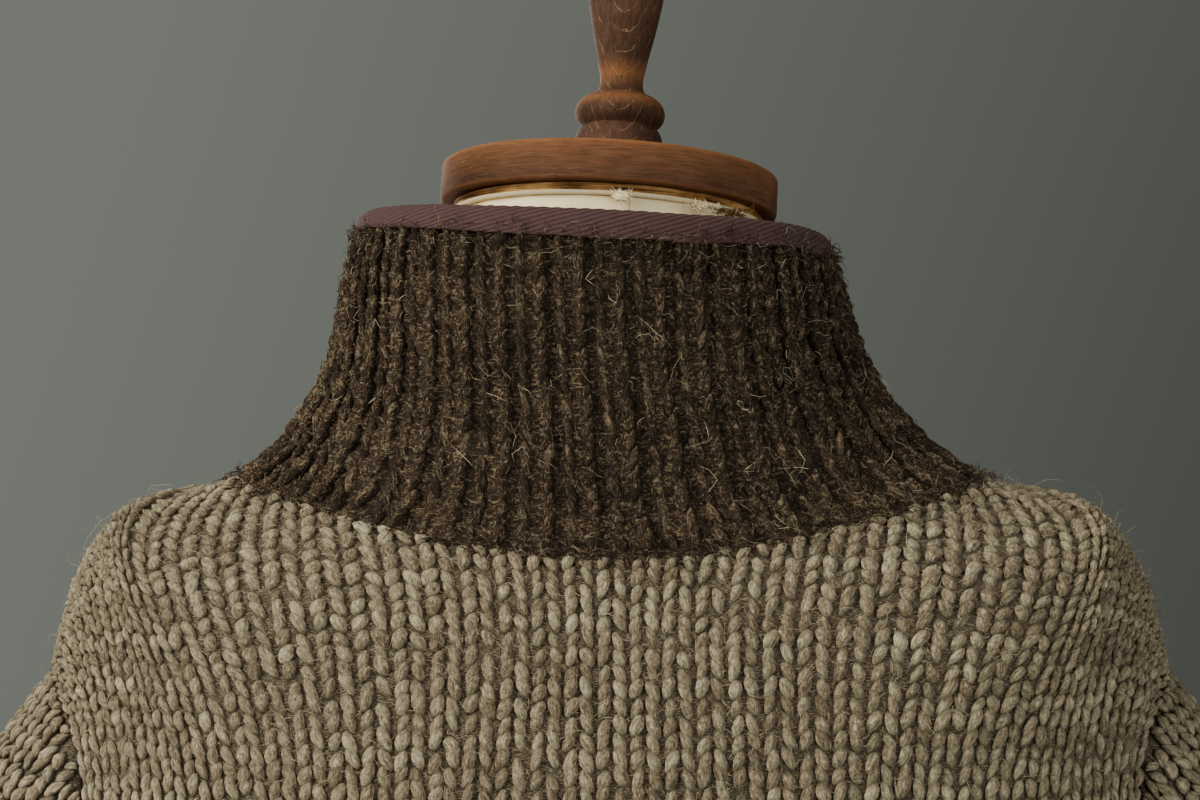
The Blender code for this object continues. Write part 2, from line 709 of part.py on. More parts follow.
def collar_grid():
    """Outer and inner points of the collar before its seam is parted, rows from the seam up."""
    turns = collar_turns()
    shares = np.linspace(0, 1, COLLAR_ROWS + 1)
    shares = np.concatenate([shares**1.25 * 0.93, [1.0]])
    outer = collar_points(turns, shares)
    facing = grid_facing(outer, outer * [1, 1, 0])
    facing[0] = neck_edge_facing()
    inner = outer - facing * WALL
    # The edge under the binding is pressed thinner, from both faces.
    outer[-2:] -= facing[-2:] * BINDING_INSET * np.array([0.35, 1.0])[:, None, None]
    inner[-2:] += facing[-2:] * BINDING_INSET * np.array([0.1, 0.45])[:, None, None]
    return outer, inner


def make_collar(material):
    outer, inner = collar_grid()
    part_seam(outer, inner, "foot")
    return wall("collar", outer, inner, material)


def make_binding(material):
    """A tape folded over the collar's top edge: an upside-down U with rounded shoulders."""
    turns = collar_turns()
    height = collar_top_height(turns) - neck_seam(np.abs(turns))[:, 2]
    foot_share = 1 - (BINDING_DEPTH / height).mean()
    rows = collar_points(turns, [foot_share, 1.0])
    facing = grid_facing(collar_points(turns, [0.8, 0.9, 1.0]), rows[:1] * [1, 1, 0])[1]
    up = unit(rows[1] - rows[0])
    edge_outer = rows[1] - facing * BINDING_INSET
    edge_inner = rows[1] - facing * (WALL - 0.45 * BINDING_INSET)
    foot_outer = rows[0] - facing * BINDING_INSET * 0.3
    foot_inner = rows[0] - facing * (WALL - BINDING_INSET * 0.05)
    clear, thick = TOUCH + 0.0001, BINDING_THICKNESS
    inside = [
        foot_outer + facing * clear,
        edge_outer + facing * clear - up * 0.0002,
        edge_outer - facing * 0.0004 + up * clear,
        edge_inner + facing * 0.0004 + up * clear,
        edge_inner - facing * clear - up * 0.0002,
        foot_inner - facing * clear,
    ]
    outside = [
        foot_inner - facing * (clear + thick),
        edge_inner - facing * (clear + thick) - up * 0.0004,
        edge_inner + facing * 0.0002 + up * (clear + thick),
        edge_outer - facing * 0.0002 + up * (clear + thick),
        edge_outer + facing * (clear + thick) - up * 0.0004,
        foot_outer + facing * (clear + thick),
    ]
    section = np.stack(inside + outside) + CAP_HEIGHT * np.array([0, 0, 1])
    shape = bmesh.new()
    grid = [[shape.verts.new(point) for point in column] for column in section.transpose(1, 0, 2)]
    count = len(section)
    for left, right in zip(grid, grid[1:]):
        for k in range(count):
            shape.faces.new((left[k], left[(k + 1) % count], right[(k + 1) % count], right[k]))
    # Each end is closed as five quads between the inner and the outer line.
    for column in (grid[0], grid[-1]):
        for k in range(count // 2 - 1):
            shape.faces.new((column[k], column[k + 1], column[count - 2 - k], column[count - 1 - k]))
    return smooth_shaded(add_object("collar_binding", mesh_from_bmesh("collar_binding", shape), material))


def armhole(side):
    """The armhole's seam for a sleeve on one side of the body (1 is the wearer's left).

    The loop starts at the underarm and runs up the back, over the shoulder's tip and down the front. It
    returns the outer points and the inner ones.
    """
    column = -1 if side > 0 else 0
    back_outer, back_inner = (grid[:, column] for grid in body_grid(1))
    front_outer, front_inner = (grid[:, column] for grid in body_grid(-1))
    first = LOWER_HEIGHTS.index(UNDERARM)
    outer = np.concatenate([back_outer[first:], front_outer[first + 1 : -1][::-1]])
    inner = np.concatenate([back_inner[first:], front_inner[first + 1 : -1][::-1]])
    return outer, inner


def sleeve_ring(height, turns, side):
    """One section of the sleeve. Turns run from the underarm (-90 degrees) by the back to the top (90)."""
    table = np.array(SLEEVE_SECTIONS)
    x, y, deep, thick, tilt = spline(table[:, 0], table[:, 1:], [height])[0]
    tilt = math.radians(tilt)
    out, back = thick * np.sin(turns), deep * np.cos(turns)
    for turn, foot, head, width, depth, lean in SLEEVE_FOLDS:
        if foot < height < head:
            rise = (height - foot) / (head - foot)
            away = np.degrees(turns) - turn - lean * (rise - 0.5)
            away = (away + 180) % 360 - 180
            push = 1 + depth * math.sin(math.pi * rise) * bump(away / width) / thick
            out, back = out * push, back * push
    points = np.stack([x + out * math.cos(tilt), y + back, height + out * math.sin(tilt)], axis=-1)
    return points * [side, 1, 1]


def sleeve_turns(count):
    """The sleeve's stations, spread as the armhole's are: half of them behind and half in front."""
    half = count // 2
    behind = np.linspace(-math.pi / 2, math.pi / 2, half + 1)
    front = np.linspace(math.pi / 2, math.pi * 1.5, half + 1)[1:-1]
    return np.concatenate([behind, front])


def sleeve_grid(side):
    """Outer and inner points of a sleeve, rows from the armhole down."""
    seam_outer, seam_inner = armhole(side)
    turns = sleeve_turns(len(seam_outer))
    heights = (SLEEVE_HEAD_HEIGHT, SLEEVE_HEAD_HEIGHT - SLEEVE_HEAD_STEP)
    first, second = (sleeve_ring(height, turns, side) for height in heights)
    reach = np.linalg.norm(first - seam_outer, axis=-1, keepdims=True)
    outwards, upwards = SLEEVE_LEAVES
    leave = unit(first - seam_outer) + np.array([outwards * side, 0, upwards]) * (reach / reach.max())
    steps = np.linspace(0, 1, SLEEVE_CAP_ROWS + 1)
    arrive = unit(second - first) * reach * SLEEVE_ARRIVES
    cap = hermite(seam_outer, leave * reach, first, arrive, steps)
    lower = [sleeve_ring(height, turns, side) for height in SLEEVE_HEIGHTS]
    outer = np.concatenate([cap, np.stack(lower)])
    centre = outer.mean(axis=1, keepdims=True)
    facing = grid_facing(outer, outer - centre, closed=True)
    inner = outer - facing * WALL
    inner[0] = seam_inner
    return outer, inner


def make_sleeve(name, side, material):
    outer, inner = sleeve_grid(side)
    part_seam(outer, inner, "foot", closed=True)
    part_seam(outer, inner, "top", closed=True)
    return wall(name, outer, inner, material, closed=True)


def make_cuff(name, side, material):
    seam_outer, seam_inner = (grid[-1] for grid in sleeve_grid(side))
    turns = sleeve_turns(len(seam_outer))
    end = SLEEVE_SECTIONS[-1][0]
    heights = np.linspace(SLEEVE_HEIGHTS[-1], end, RIB_ROWS + 1)
    outer = np.stack([seam_outer] + [sleeve_ring(height, turns, side) for height in heights[1:]])
    facing = grid_facing(outer, outer - outer.mean(axis=1, keepdims=True), closed=True)
    inner = outer - facing * WALL
    inner[0] = seam_inner
    part_seam(outer, inner, "foot", closed=True)
    return wall(name, outer, inner, material, closed=True)


# ---------------------------------------------------------------- the zip
def knitted_edge():
    """The inner face beside the slit, from the collar's top down: its edge, and the next column of points."""
    _, collar_inner = collar_grid()
    middle = PANEL_COLUMNS // 2 + 1
    front_inner = body_grid(-1)[1][LOWER_HEIGHTS.index(ZIP_BOTTOM) - 1 :]
    edge = np.concatenate([collar_inner[::-1, -1], front_inner[::-1, middle][1:]])
    beside = np.concatenate([collar_inner[::-1, -2], front_inner[::-1, middle + 1][1:]])
    return edge, beside


def along_zip(distances):
    """Points behind the knitted edge at these distances down the zip, beside them, and the way out there."""
    edge, beside = knitted_edge()
    run = np.concatenate([[0], np.cumsum(np.linalg.norm(np.diff(edge[:, 1:], axis=0), axis=1))])

    def read(line, places):
        places = np.clip(places, 0, run[-1])
        return np.stack([np.interp(places, run, line[:, axis]) for axis in range(3)], axis=-1)

    down = read(edge, distances + ZIP_LOOK) - read(edge, distances - ZIP_LOOK)
    down = unit(down * [0, 1, 1])
    return read(edge, distances), read(beside, distances), down, outward_of(down)


def outward_of(down):
    """The way out of the cloth, square to the way down the zip."""
    return np.stack([0 * down[..., 0], down[..., 2], -down[..., 1]], axis=-1)


def zip_distances():
    """Stations down the zip: the cloth's own rows, and each step in the tape's edges."""
    edge, _ = knitted_edge()
    run = np.concatenate([[0], np.cumsum(np.linalg.norm(np.diff(edge[:, 1:], axis=0), axis=1))])
    foot = run[-2] + TAPE_END
    steps = [SLIDER_FALL - BRIDGE_END, BINDING_DEPTH + TAPE_WIDENS]
    ends = [TAPE_TOP, *(step + reach for step in steps for reach in (-STEP_REACH, STEP_REACH)), foot]
    inside = [place for place in run if ends[-2] + TAPE_TOP < place < foot - TAPE_TOP]
    return np.array(sorted(ends + inside)), run[-2]


def make_tape(name, side, material):
    distances, _ = zip_distances()
    edge, beside, _, out = along_zip(distances)
    wide = distances > BINDING_DEPTH + TAPE_WIDENS
    reach = np.where(wide, TAPE_REACH, SLIT_HALF - 0.0005)
    part = ((reach - SLIT_HALF) / (beside[:, 0] - edge[:, 0]))[:, None]
    outside = edge + (beside - edge) * part
    centre = edge.copy()
    centre[:, 0] = np.where(distances < SLIDER_FALL - BRIDGE_END, BRIDGE_SLOT, CHAIN_GAP / 2)
    across = np.stack([centre, (edge + centre) / 2, outside], axis=1) * [side, 1, 1]
    outer = across - out[:, None] * TAPE_CLEAR
    inner = outer - out[:, None] * TAPE_THICKNESS
    return wall(name, outer, inner, material)


def zip_place(distance):
    """The middle of the tapes' thickness at this distance down the zip, with the way down and out there."""
    edge, _, down, out = (value[0] for value in along_zip(np.array([distance])))
    middle = edge * [0, 1, 1] - out * (TAPE_CLEAR + TAPE_THICKNESS / 2)
    return middle + np.array([0, 0, CAP_HEIGHT]), down, out


def joined_boxes(name, frame, boxes, material):
    """One solid from overlapping boxes. Each is given by its middle and its size along x, down and out."""
    centre, down, out = frame
    made = []
    for index, (middle, size) in enumerate(boxes):
        shape = bmesh.new()
        bmesh.ops.create_cube(shape, size=1.0)
        bmesh.ops.scale(shape, vec=size, verts=shape.verts)
        bmesh.ops.translate(shape, vec=middle, verts=shape.verts)
        title = name if index == 0 else f"{name}_join_{index}"
        box = add_object(title, mesh_from_bmesh(name, shape), material)
        turn = Matrix(np.stack([np.cross(down, out), down, out], axis=1)).to_4x4()
        box.matrix_world = Matrix.Translation(centre) @ turn
        made.append(box)
    for helper in made[1:]:
        helper.hide_render, helper.display_type = True, "WIRE"
        union = made[0].modifiers.new(helper.name, "BOOLEAN")
        union.operation, union.object = "UNION", helper
    return made[0]


def make_slider(material):
    gap = (SLIDER_CHANNEL + SLIDER_PLATE) / 2
    front = SLIDER_CHANNEL / 2 + SLIDER_PLATE
    arch_reach = 2 * PIN_HEIGHT + ARCH_BAR
    post = (ARCH_WINDOW + ARCH_POST) / 2
    bridge = (BRIDGE_LENGTH - SLIDER_LENGTH) / 2 + JOIN_OVERLAP
    boxes = [
        ((0, 0, gap), (SLIDER_WIDTH, SLIDER_LENGTH, SLIDER_PLATE)),
        ((0, 0, -gap), (SLIDER_WIDTH - 2 * JOIN_OVERLAP, SLIDER_LENGTH, SLIDER_PLATE)),
        ((0, bridge, 0), (BRIDGE_WIDTH, BRIDGE_LENGTH, SLIDER_CHANNEL + SLIDER_PLATE)),
    ]
    middle = front + arch_reach / 2 - JOIN_OVERLAP
    for place in (-post, post):
        boxes.append(((0, place, middle), (ARCH_WIDTH, ARCH_POST, arch_reach + JOIN_OVERLAP)))
    bar = front + arch_reach - ARCH_BAR / 2 - JOIN_OVERLAP / 6
    boxes.append(((0, 0, bar), (ARCH_WIDTH + JOIN_OVERLAP, ARCH_WINDOW + ARCH_POST, ARCH_BAR)))
    return joined_boxes("zip_slider", zip_place(SLIDER_FALL), boxes, material)


def make_pull(material):
    """The pull tab hangs by a crossbar in the slider's arch. Its origin is on that bar, the joint's axis."""
    centre, down, out = zip_place(SLIDER_FALL)
    axis = centre + out * (SLIDER_CHANNEL / 2 + SLIDER_PLATE + PIN_HEIGHT)
    arm = (PULL_WIDTH - PULL_SLOT_WIDTH) / 2
    arm_length = PULL_SLOT_LENGTH + PIN_SIZE + 3 * JOIN_OVERLAP
    pin = PIN_SIZE - JOIN_OVERLAP / 3
    plate = PULL_LENGTH - PULL_SLOT_LENGTH
    boxes = [
        ((0, PULL_SLOT_LENGTH + plate / 2, 0), (PULL_WIDTH, plate, PIN_SIZE)),
        ((0, 0, 0), (PULL_WIDTH - JOIN_OVERLAP, pin, pin)),
    ]
    for side in (-1, 1):
        middle = (side * (PULL_WIDTH - arm) / 2, arm_length / 2 - PIN_SIZE / 2, 0)
        boxes.append((middle, (arm, arm_length, PIN_SIZE)))
    return joined_boxes("zip_pull", (axis, down, out), boxes, material)


def make_stop(material):
    _, foot = zip_distances()
    centre, down, out = zip_place(foot - STOP_ABOVE_FOOT)
    centre = centre + out * (TAPE_THICKNESS / 2 + TOUCH + STOP_SIZE[2] / 2)
    return joined_boxes("zip_stop", (centre, down, out), [((0, 0, 0), STOP_SIZE)], material)


# ---------------------------------------------------------------- the dress form and its stand
def neck_matrix(along):
    """The place on the leaning neck's axis at this height, measured from the cap's underside."""
    lean = Matrix.Rotation(-NECK_LEAN, 4, "Y")
    pivot = Matrix.Translation((NECK_SHIFT, 0, CAP_HEIGHT + LEAN_PIVOT))
    return pivot @ lean @ Matrix.Translation((0, 0, along - LEAN_PIVOT))


def level_ring(width, back, front, roundness, place):
    """One ring of the form, moved by a matrix that says where the middle of the ring is."""
    turns = np.linspace(0, math.tau, FORM_SIDES, endpoint=False)
    power = 2 / roundness
    x = width * np.sign(np.sin(turns)) * np.abs(np.sin(turns)) ** power
    y = np.where(np.cos(turns) >= 0, back, front) * np.sign(np.cos(turns)) * np.abs(np.cos(turns)) ** power
    return [place @ Matrix.Translation((a, b, 0)) for a, b in zip(x, y)]


def shoulder_rows():
    """The form's ridge lies just under the cloth's: one section for each row of its table."""
    along = np.array([row[0] for row in FORM_SHOULDERS])
    seam, facing, _ = top_edge(NECK_SHARE + (1 - NECK_SHARE) * along, 1)
    ridge = seam - facing * (WALL + CLOTH_ABOVE_FORM)
    return [(height, width, *row[1:]) for (width, _, height), row in zip(ridge, FORM_SHOULDERS)]


def make_torso(material):
    rings = []
    for height, *section in (*FORM_SECTIONS, *shoulder_rows()):
        rings.append(level_ring(*section, Matrix.Translation((0, 0, CAP_HEIGHT + height))))
    for height, *section in FORM_NECK:
        middle = neck_matrix(height)
        if height < LEAN_PIVOT:
            middle = Matrix.Translation((NECK_SHIFT * width_share(section[0]), 0, CAP_HEIGHT + height))
        rings.append(level_ring(*section, middle))
    top = -STEP_RING[0] - 2 * TOUCH
    rings.append(level_ring(NECK_RADIUS, NECK_RADIUS, NECK_RADIUS, 2.0, neck_matrix(top)))
    shape = bmesh.new()
    lines = [[shape.verts.new(point.translation) for point in ring] for ring in rings]
    for lower, upper in zip(lines, lines[1:]):
        for k in range(FORM_SIDES):
            beside = (k + 1) % FORM_SIDES
            shape.faces.new((lower[k], lower[beside], upper[beside], upper[k]))
    shape.faces.new(lines[0][::-1])
    shape.faces.new(lines[-1])
    return smooth_shaded(add_object("form_torso", mesh_from_bmesh("form_torso", shape), material))


def width_share(width):
    """How far a ring of this half width follows the neck sideways: 0 at the shoulders, 1 at the neck."""
    narrowest = FORM_NECK[2][1]
    return min(1.0, (NECK_HALF_WIDTH - width) / (NECK_HALF_WIDTH - narrowest))


def make_neck_fittings(wood, worn_wood):
    thick, radius = STEP_RING
    ring = ((0.0, 0.0), (radius - STEP_CHAMFER, 0.0), (radius, STEP_CHAMFER), (radius, thick), (0.0, thick))
    for name, profile, along, shift, material in (
        ("neck_ring", ring, -thick - TOUCH, 0.0, worn_wood),
        ("neck_cap", CAP_PROFILE, 0.0, 0.0, wood),
        ("finial", FINIAL_PROFILE, CAP_PROFILE[-1][1] + TOUCH, FINIAL_SHIFT, wood),
    ):
        sides = FINIAL_SIDES if name == "finial" else TURNED_SIDES
        piece = turned(name, profile, material, sides)
        piece.matrix_world = neck_matrix(along) @ Matrix.Translation((shift, 0, 0))


def make_stand(wood):
    base_top = BASE_PROFILE[-1][1]
    length = CAP_HEIGHT + FORM_SECTIONS[0][0] - base_top - 2 * TOUCH
    head = tuple((radius, length - depth) for radius, depth in POLE_HEAD_PROFILE)
    pole = turned("stand_pole", POLE_FOOT_PROFILE + head, wood, POLE_SIDES)
    pole.location.z = base_top + TOUCH
    turned("stand_base", BASE_PROFILE, wood, TURNED_SIDES)


def main():
    clear_scene()
    wool = finish("oat wool", (0.22, 0.175, 0.115), 0.95)
    brown_wool = finish("brown wool", (0.030, 0.019, 0.011), 0.95)
    plum_tape = finish("plum twill", (0.085, 0.046, 0.036), 0.85)
    zip_tape = finish("zip tape", (0.035, 0.022, 0.016), 0.8)
    brass = finish("aged brass", (0.42, 0.30, 0.14), 0.4, 1.0)
    linen = finish("linen", (0.60, 0.51, 0.37), 0.9)
    wood = finish("brown wood", (0.115, 0.052, 0.024), 0.5)
    worn_wood = finish("worn wood", (0.20, 0.12, 0.045), 0.6)

    make_back(wool)
    make_front(wool)
    make_hem_rib("hem_rib_back", 1, wool)
    make_hem_rib("hem_rib_front", -1, wool)
    for name, side in (("left", 1), ("right", -1)):
        make_sleeve("sleeve_" + name, side, wool)
        make_cuff("cuff_" + name, side, wool)
        make_tape("zip_tape_" + name, side, zip_tape)
    make_collar(brown_wool)
    make_binding(plum_tape)
    make_slider(brass)
    make_pull(brass)
    make_stop(brass)
    make_torso(linen)
    make_neck_fittings(wood, worn_wood)
    make_stand(wood)


main()
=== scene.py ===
# %% [markdown]
# # A hand-knitted mock neck sweater on a dress form
#
# The sweater is knitted from thick, uneven, marled wool in stocking stitch. Its ribbed collar is dark brown
# wool with a plum twill tape folded over the edge, and a short zip closes the front. It hangs on a dress form
# with a turned wooden neck cap and finial. The solids that fix every size and place come from the packed
# frame. This lesson gives each of them its real surface. Metres throughout, +Z up, the zip faces -Y.

# %% Load the frame
import math

import bpy
import numpy as np
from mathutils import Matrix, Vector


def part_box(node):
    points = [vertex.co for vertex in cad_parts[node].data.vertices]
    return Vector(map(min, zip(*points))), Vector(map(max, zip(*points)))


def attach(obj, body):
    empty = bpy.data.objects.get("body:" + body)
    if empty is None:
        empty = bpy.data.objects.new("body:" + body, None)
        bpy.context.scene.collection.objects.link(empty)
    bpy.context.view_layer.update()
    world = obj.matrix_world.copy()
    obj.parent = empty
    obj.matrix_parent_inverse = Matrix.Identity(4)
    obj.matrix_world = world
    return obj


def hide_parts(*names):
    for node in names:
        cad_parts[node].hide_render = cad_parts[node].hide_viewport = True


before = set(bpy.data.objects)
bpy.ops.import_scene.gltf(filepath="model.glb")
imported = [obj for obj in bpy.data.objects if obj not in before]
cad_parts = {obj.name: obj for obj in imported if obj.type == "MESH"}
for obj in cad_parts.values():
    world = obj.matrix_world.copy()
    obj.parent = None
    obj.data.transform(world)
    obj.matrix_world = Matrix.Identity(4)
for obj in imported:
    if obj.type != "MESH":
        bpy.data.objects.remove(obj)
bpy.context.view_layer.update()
BODY = "sweater_and_form"
TAB = "pull_tab"

# %% [markdown]
# ## Camera, light and floor
#
# The camera stands low behind the form and looks up a little at the nape. It comes first, because every other
# choice is judged through it. A wide soft lamp stands on the wearer's left, and the room's grey-green walls
# are the world's colour, brighter on that side.


# %% Colours and nodes
def linear(code):
    """An sRGB hex code as a linear colour with alpha."""
    channels = [int(code[i : i + 2], 16) / 255 for i in (1, 3, 5)]
    return (*((c / 12.92 if c <= 0.04045 else ((c + 0.055) / 1.055) ** 2.4) for c in channels), 1.0)


def connect(tree, node, links):
    """Links inputs of a node to sockets. A node in place of a socket stands for its first output."""
    for key, source in links.items():
        tree.links.new(getattr(source, "outputs", [source])[0], node.inputs[key])


def add_node(tree, kind, settings=None, links=None, values=None, stops=()):
    """Adds a node: its settings, what its inputs are linked to, the values of the other inputs, and a colour
    ramp's stops, each a place and a colour. kind is Blender's name without its ShaderNode."""
    node = tree.nodes.new("ShaderNode" + kind)
    for key, value in (settings or {}).items():
        setattr(node, key, value)
    for key, value in (values or {}).items():
        node.inputs[key].default_value = value
    connect(tree, node, links or {})
    for _ in stops[2:]:
        node.color_ramp.elements.new(0.5)
    for index, (place, colour) in enumerate(stops):
        element = node.color_ramp.elements[index]
        element.position, element.color = place, linear(colour)
    return node


def new_material(name, values):
    """A material, its node tree and its shader, which gets the values that are the same all over."""
    material = bpy.data.materials.new(name)
    material.use_nodes = True
    shader = material.node_tree.nodes["Principled BSDF"]
    for key, value in values.items():
        shader.inputs[key].default_value = value
    return material, material.node_tree, shader


# %% Camera
CAMERA_PLACE = (0.0037, 0.75, 1.359)
CAMERA_LIFT = math.radians(5.36)  # above level
bpy.ops.object.select_all(action="DESELECT")
bpy.ops.object.camera_add(location=CAMERA_PLACE, rotation=(math.pi / 2 + CAMERA_LIFT, 0, math.pi))
camera = bpy.context.object
camera.data.lens = 60.75
camera.data.sensor_width = 36
bpy.context.scene.camera = camera

# %% World
WALL_LIT, WALL_SHADED = "#747870", "#3d3f3b"
world = bpy.data.worlds.new("grey room")
bpy.context.scene.world = world
world.use_nodes = True
room = world.node_tree
direction = add_node(room, "TexCoord")
axes = add_node(room, "SeparateXYZ", links={"Vector": direction.outputs["Generated"]})
lit_side = add_node(
    room, "Math", {"operation": "MULTIPLY_ADD"}, {0: axes.outputs["Z"], 2: axes.outputs["X"]}, {1: 0.35}
)
across = add_node(room, "MapRange", links={"Value": lit_side}, values={"From Min": -0.42, "From Max": 0.30})
walls = add_node(
    room, "Mix", {"data_type": "RGBA"}, {0: across}, {6: linear(WALL_SHADED), 7: linear(WALL_LIT)}
)
connect(room, room.nodes["Background"], {"Color": walls.outputs[2]})


# %% Lamps and floor
def lamp(name, place, target, size, power, colour):
    """A square soft lamp that looks at a point."""
    bpy.ops.object.light_add(type="AREA", location=place)
    item = bpy.context.object
    item.name = name
    item.data.size, item.data.energy, item.data.color = size, power, colour
    towards = np.array(target, float) - np.array(place, float)
    flat = math.hypot(towards[0], towards[1])
    item.rotation_euler = (math.atan2(flat, -towards[2]), 0, math.atan2(-towards[0], towards[1]))
    return item


lamp("key", (1.85, 1.1, 2.45), (0.0, 0.0, 1.30), 1.8, 106.0, (1.0, 0.97, 0.93))
lamp("fill", (-1.35, 2.4, 1.5), (0.0, 0.0, 1.25), 2.6, 52.0, (0.98, 0.99, 1.0))
lamp("front", (0.9, -2.2, 1.9), (0.0, 0.0, 1.10), 1.8, 60.0, (1.0, 0.98, 0.95))
bpy.ops.mesh.primitive_plane_add(size=8, location=(0, 0, -0.0005))
floor = bpy.context.object
floor.name = "floor"
floor_paint = new_material("pale floor", {"Base Color": linear("#b9b7b0"), "Roughness": 0.85})[0]
floor.data.materials.append(floor_paint)

# %% [markdown]
# ## The cut of the sweater
#
# Each knitted panel is a surface that a few measured sections fix: level rounds of the body, the seam round
# the neck, the shoulder seam, and rounds of the sleeve. The solids were made from the same sections, so
# stitches laid on these surfaces lie on the solids. Heights count from the underside of the neck cap.

# %% Sections of the garment
CAP_HEIGHT = 1.500  # of the cap's underside above the floor
HEM, HEM_RIB_TOP, UNDERARM, ZIP_BOTTOM, YOKE = -0.740, -0.680, -0.385, -0.305, -0.215
YOKE_RISE = 1.17  # how far the wales run on straight above the yoke line, as a share of their reach
NECK_HALF_WIDTH, NECK_BACK, NECK_FRONT = 0.139, 0.097, 0.095
NECK_SIDE_HEIGHT, NECK_BACK_DROP, NECK_FRONT_DROP, NECK_DIP = -0.100, 0.031, 0.068, 1.7
NECK_SIDE_TURN = math.radians(97.0)  # from the centre back to the shoulder seam
NECK_SHARE = 0.68  # of a panel's wales that end at the neck
SLIT_HALF = 0.0078
BODY_SECTIONS = (
    # height, width, back, front, round, edge
    (HEM, 0.186, 0.121, 0.119, 2.35, 0.186),
    (HEM_RIB_TOP, 0.194, 0.128, 0.126, 2.30, 0.194),
    (-0.620, 0.199, 0.132, 0.130, 2.25, 0.199),
    (-0.540, 0.200, 0.132, 0.130, 2.22, 0.200),
    (-0.460, 0.199, 0.131, 0.130, 2.18, 0.199),
    (UNDERARM, 0.198, 0.131, 0.130, 2.12, 0.198),
    (-0.368, 0.199, 0.131, 0.130, 2.10, 0.194),
    (-0.350, 0.199, 0.131, 0.130, 2.08, 0.188),
    (ZIP_BOTTOM, 0.200, 0.131, 0.129, 2.04, 0.181),
    (-0.260, 0.200, 0.129, 0.125, 2.00, 0.179),
    (YOKE, 0.200, 0.125, 0.119, 2.00, 0.180),
)
BODY_FOLDS = (
    # side, share, foot, head, width, depth, lean
    (1, 0.70, -0.682, -0.420, 0.20, -0.0080, -0.07),
    (1, 0.30, -0.682, -0.520, 0.18, -0.0040, 0.05),
    (1, -0.24, -0.682, -0.500, 0.20, -0.0045, -0.04),
    (1, -0.68, -0.682, -0.405, 0.22, -0.0085, 0.08),
    (-1, 0.64, -0.682, -0.405, 0.22, -0.0080, -0.08),
    (-1, 0.22, -0.682, -0.500, 0.18, -0.0040, 0.05),
    (-1, -0.34, -0.682, -0.460, 0.20, -0.0060, -0.05),
    (-1, -0.74, -0.682, -0.425, 0.20, -0.0070, 0.08),
)
FOLD_RIDGE, FOLD_RIDGE_PLACE = 0.45, 1.6  # beside each trough: shares of its depth and of its width
NECK_FACING = (
    # share, lift, heading in degrees, fullness
    (0.00, 28.0, 0.0, 1.05),
    (0.31, 33.0, 5.0, 1.10),
    (0.62, 50.0, 18.0, 1.45),
    (1.00, 74.0, 38.0, 2.00),
)
SHOULDER_SEAM = (
    # x, y, height, heading, fullness
    (0.1380, -0.0118, -0.1010, 38.0, 2.00),
    (0.1600, -0.0120, -0.1052, 24.0, 1.90),
    (0.1740, -0.0115, -0.1103, 14.0, 1.70),
    (0.1855, -0.0110, -0.1195, 8.0, 1.50),
    (0.1945, -0.0100, -0.1340, 4.0, 1.35),
    (0.1998, -0.0090, -0.1500, 2.0, 1.20),
    (0.2040, -0.0080, -0.1685, 0.0, 1.10),
)
SEAM_FORWARD_TILT = math.radians(4.0)
FRONT_FULLNESS = 0.60  # the front's share of the back's
COLLAR_SECTIONS = (
    # share, width, back, front, shift
    (0.00, NECK_HALF_WIDTH, NECK_BACK, NECK_FRONT, 0.0),
    (0.10, 0.1245, 0.0915, 0.0895, 0.0013),
    (0.23, 0.1130, 0.0865, 0.0850, 0.0027),
    (0.36, 0.1046, 0.0830, 0.0820, 0.0036),
    (0.54, 0.0976, 0.0795, 0.0795, 0.0057),
    (0.73, 0.0938, 0.0775, 0.0780, 0.0069),
    (1.00, 0.0868, 0.0750, 0.0765, 0.0075),
)
COLLAR_TOP_BACK, COLLAR_TOP_SIDE, COLLAR_TOP_TILT, COLLAR_TOP_FRONT = -0.0135, 0.0060, 0.0038, -0.0400
SLEEVE_SECTIONS = (
    # height, x, y, depth, thickness, tilt
    (-0.408, 0.2390, 0.0000, 0.0640, 0.0345, 14.0),
    (-0.470, 0.2520, -0.0020, 0.0600, 0.0330, 11.0),
    (-0.540, 0.2630, -0.0060, 0.0540, 0.0310, 9.0),
    (-0.600, 0.2710, -0.0110, 0.0490, 0.0295, 8.0),
    (-0.648, 0.2765, -0.0150, 0.0440, 0.0275, 6.0),
    (-0.712, 0.2810, -0.0200, 0.0390, 0.0255, 4.0),
)
SLEEVE_HEAD, SLEEVE_END, CUFF_END = -0.408, -0.648, -0.712
SLEEVE_LEAVES, SLEEVE_ARRIVES = (0.45, 0.12), 0.9
SLEEVE_FOLDS = (
    # turn, foot, head, width, depth, lean
    (60.0, -0.560, -0.430, 34.0, -0.0050, 90.0),
    (-75.0, -0.600, -0.450, 36.0, -0.0055, -70.0),
    (140.0, -0.620, -0.480, 30.0, -0.0040, -60.0),
)
ARMHOLE_HEIGHTS = (UNDERARM, -0.366, -0.345, ZIP_BOTTOM, -0.260, YOKE)


# %% Curves
def unit(vectors):
    return vectors / np.maximum(np.linalg.norm(vectors, axis=-1, keepdims=True), 1e-12)


def run_along(points):
    """The distance along a line, or along many side by side, from its first point to each of its points."""
    steps = np.linalg.norm(np.diff(points, axis=0), axis=-1)
    return np.concatenate([np.zeros_like(steps[:1]), steps]).cumsum(0)


def hermite(start, start_tangent, end, end_tangent, s, width=1.0):
    """Points at the shares s along one smooth stretch. Its tangents are per unit of its width."""
    return (
        (2 * s**3 - 3 * s**2 + 1) * start
        + (s**3 - 2 * s**2 + s) * width * start_tangent
        + (3 * s**2 - 2 * s**3) * end
        + (s**3 - s**2) * width * end_tangent
    )


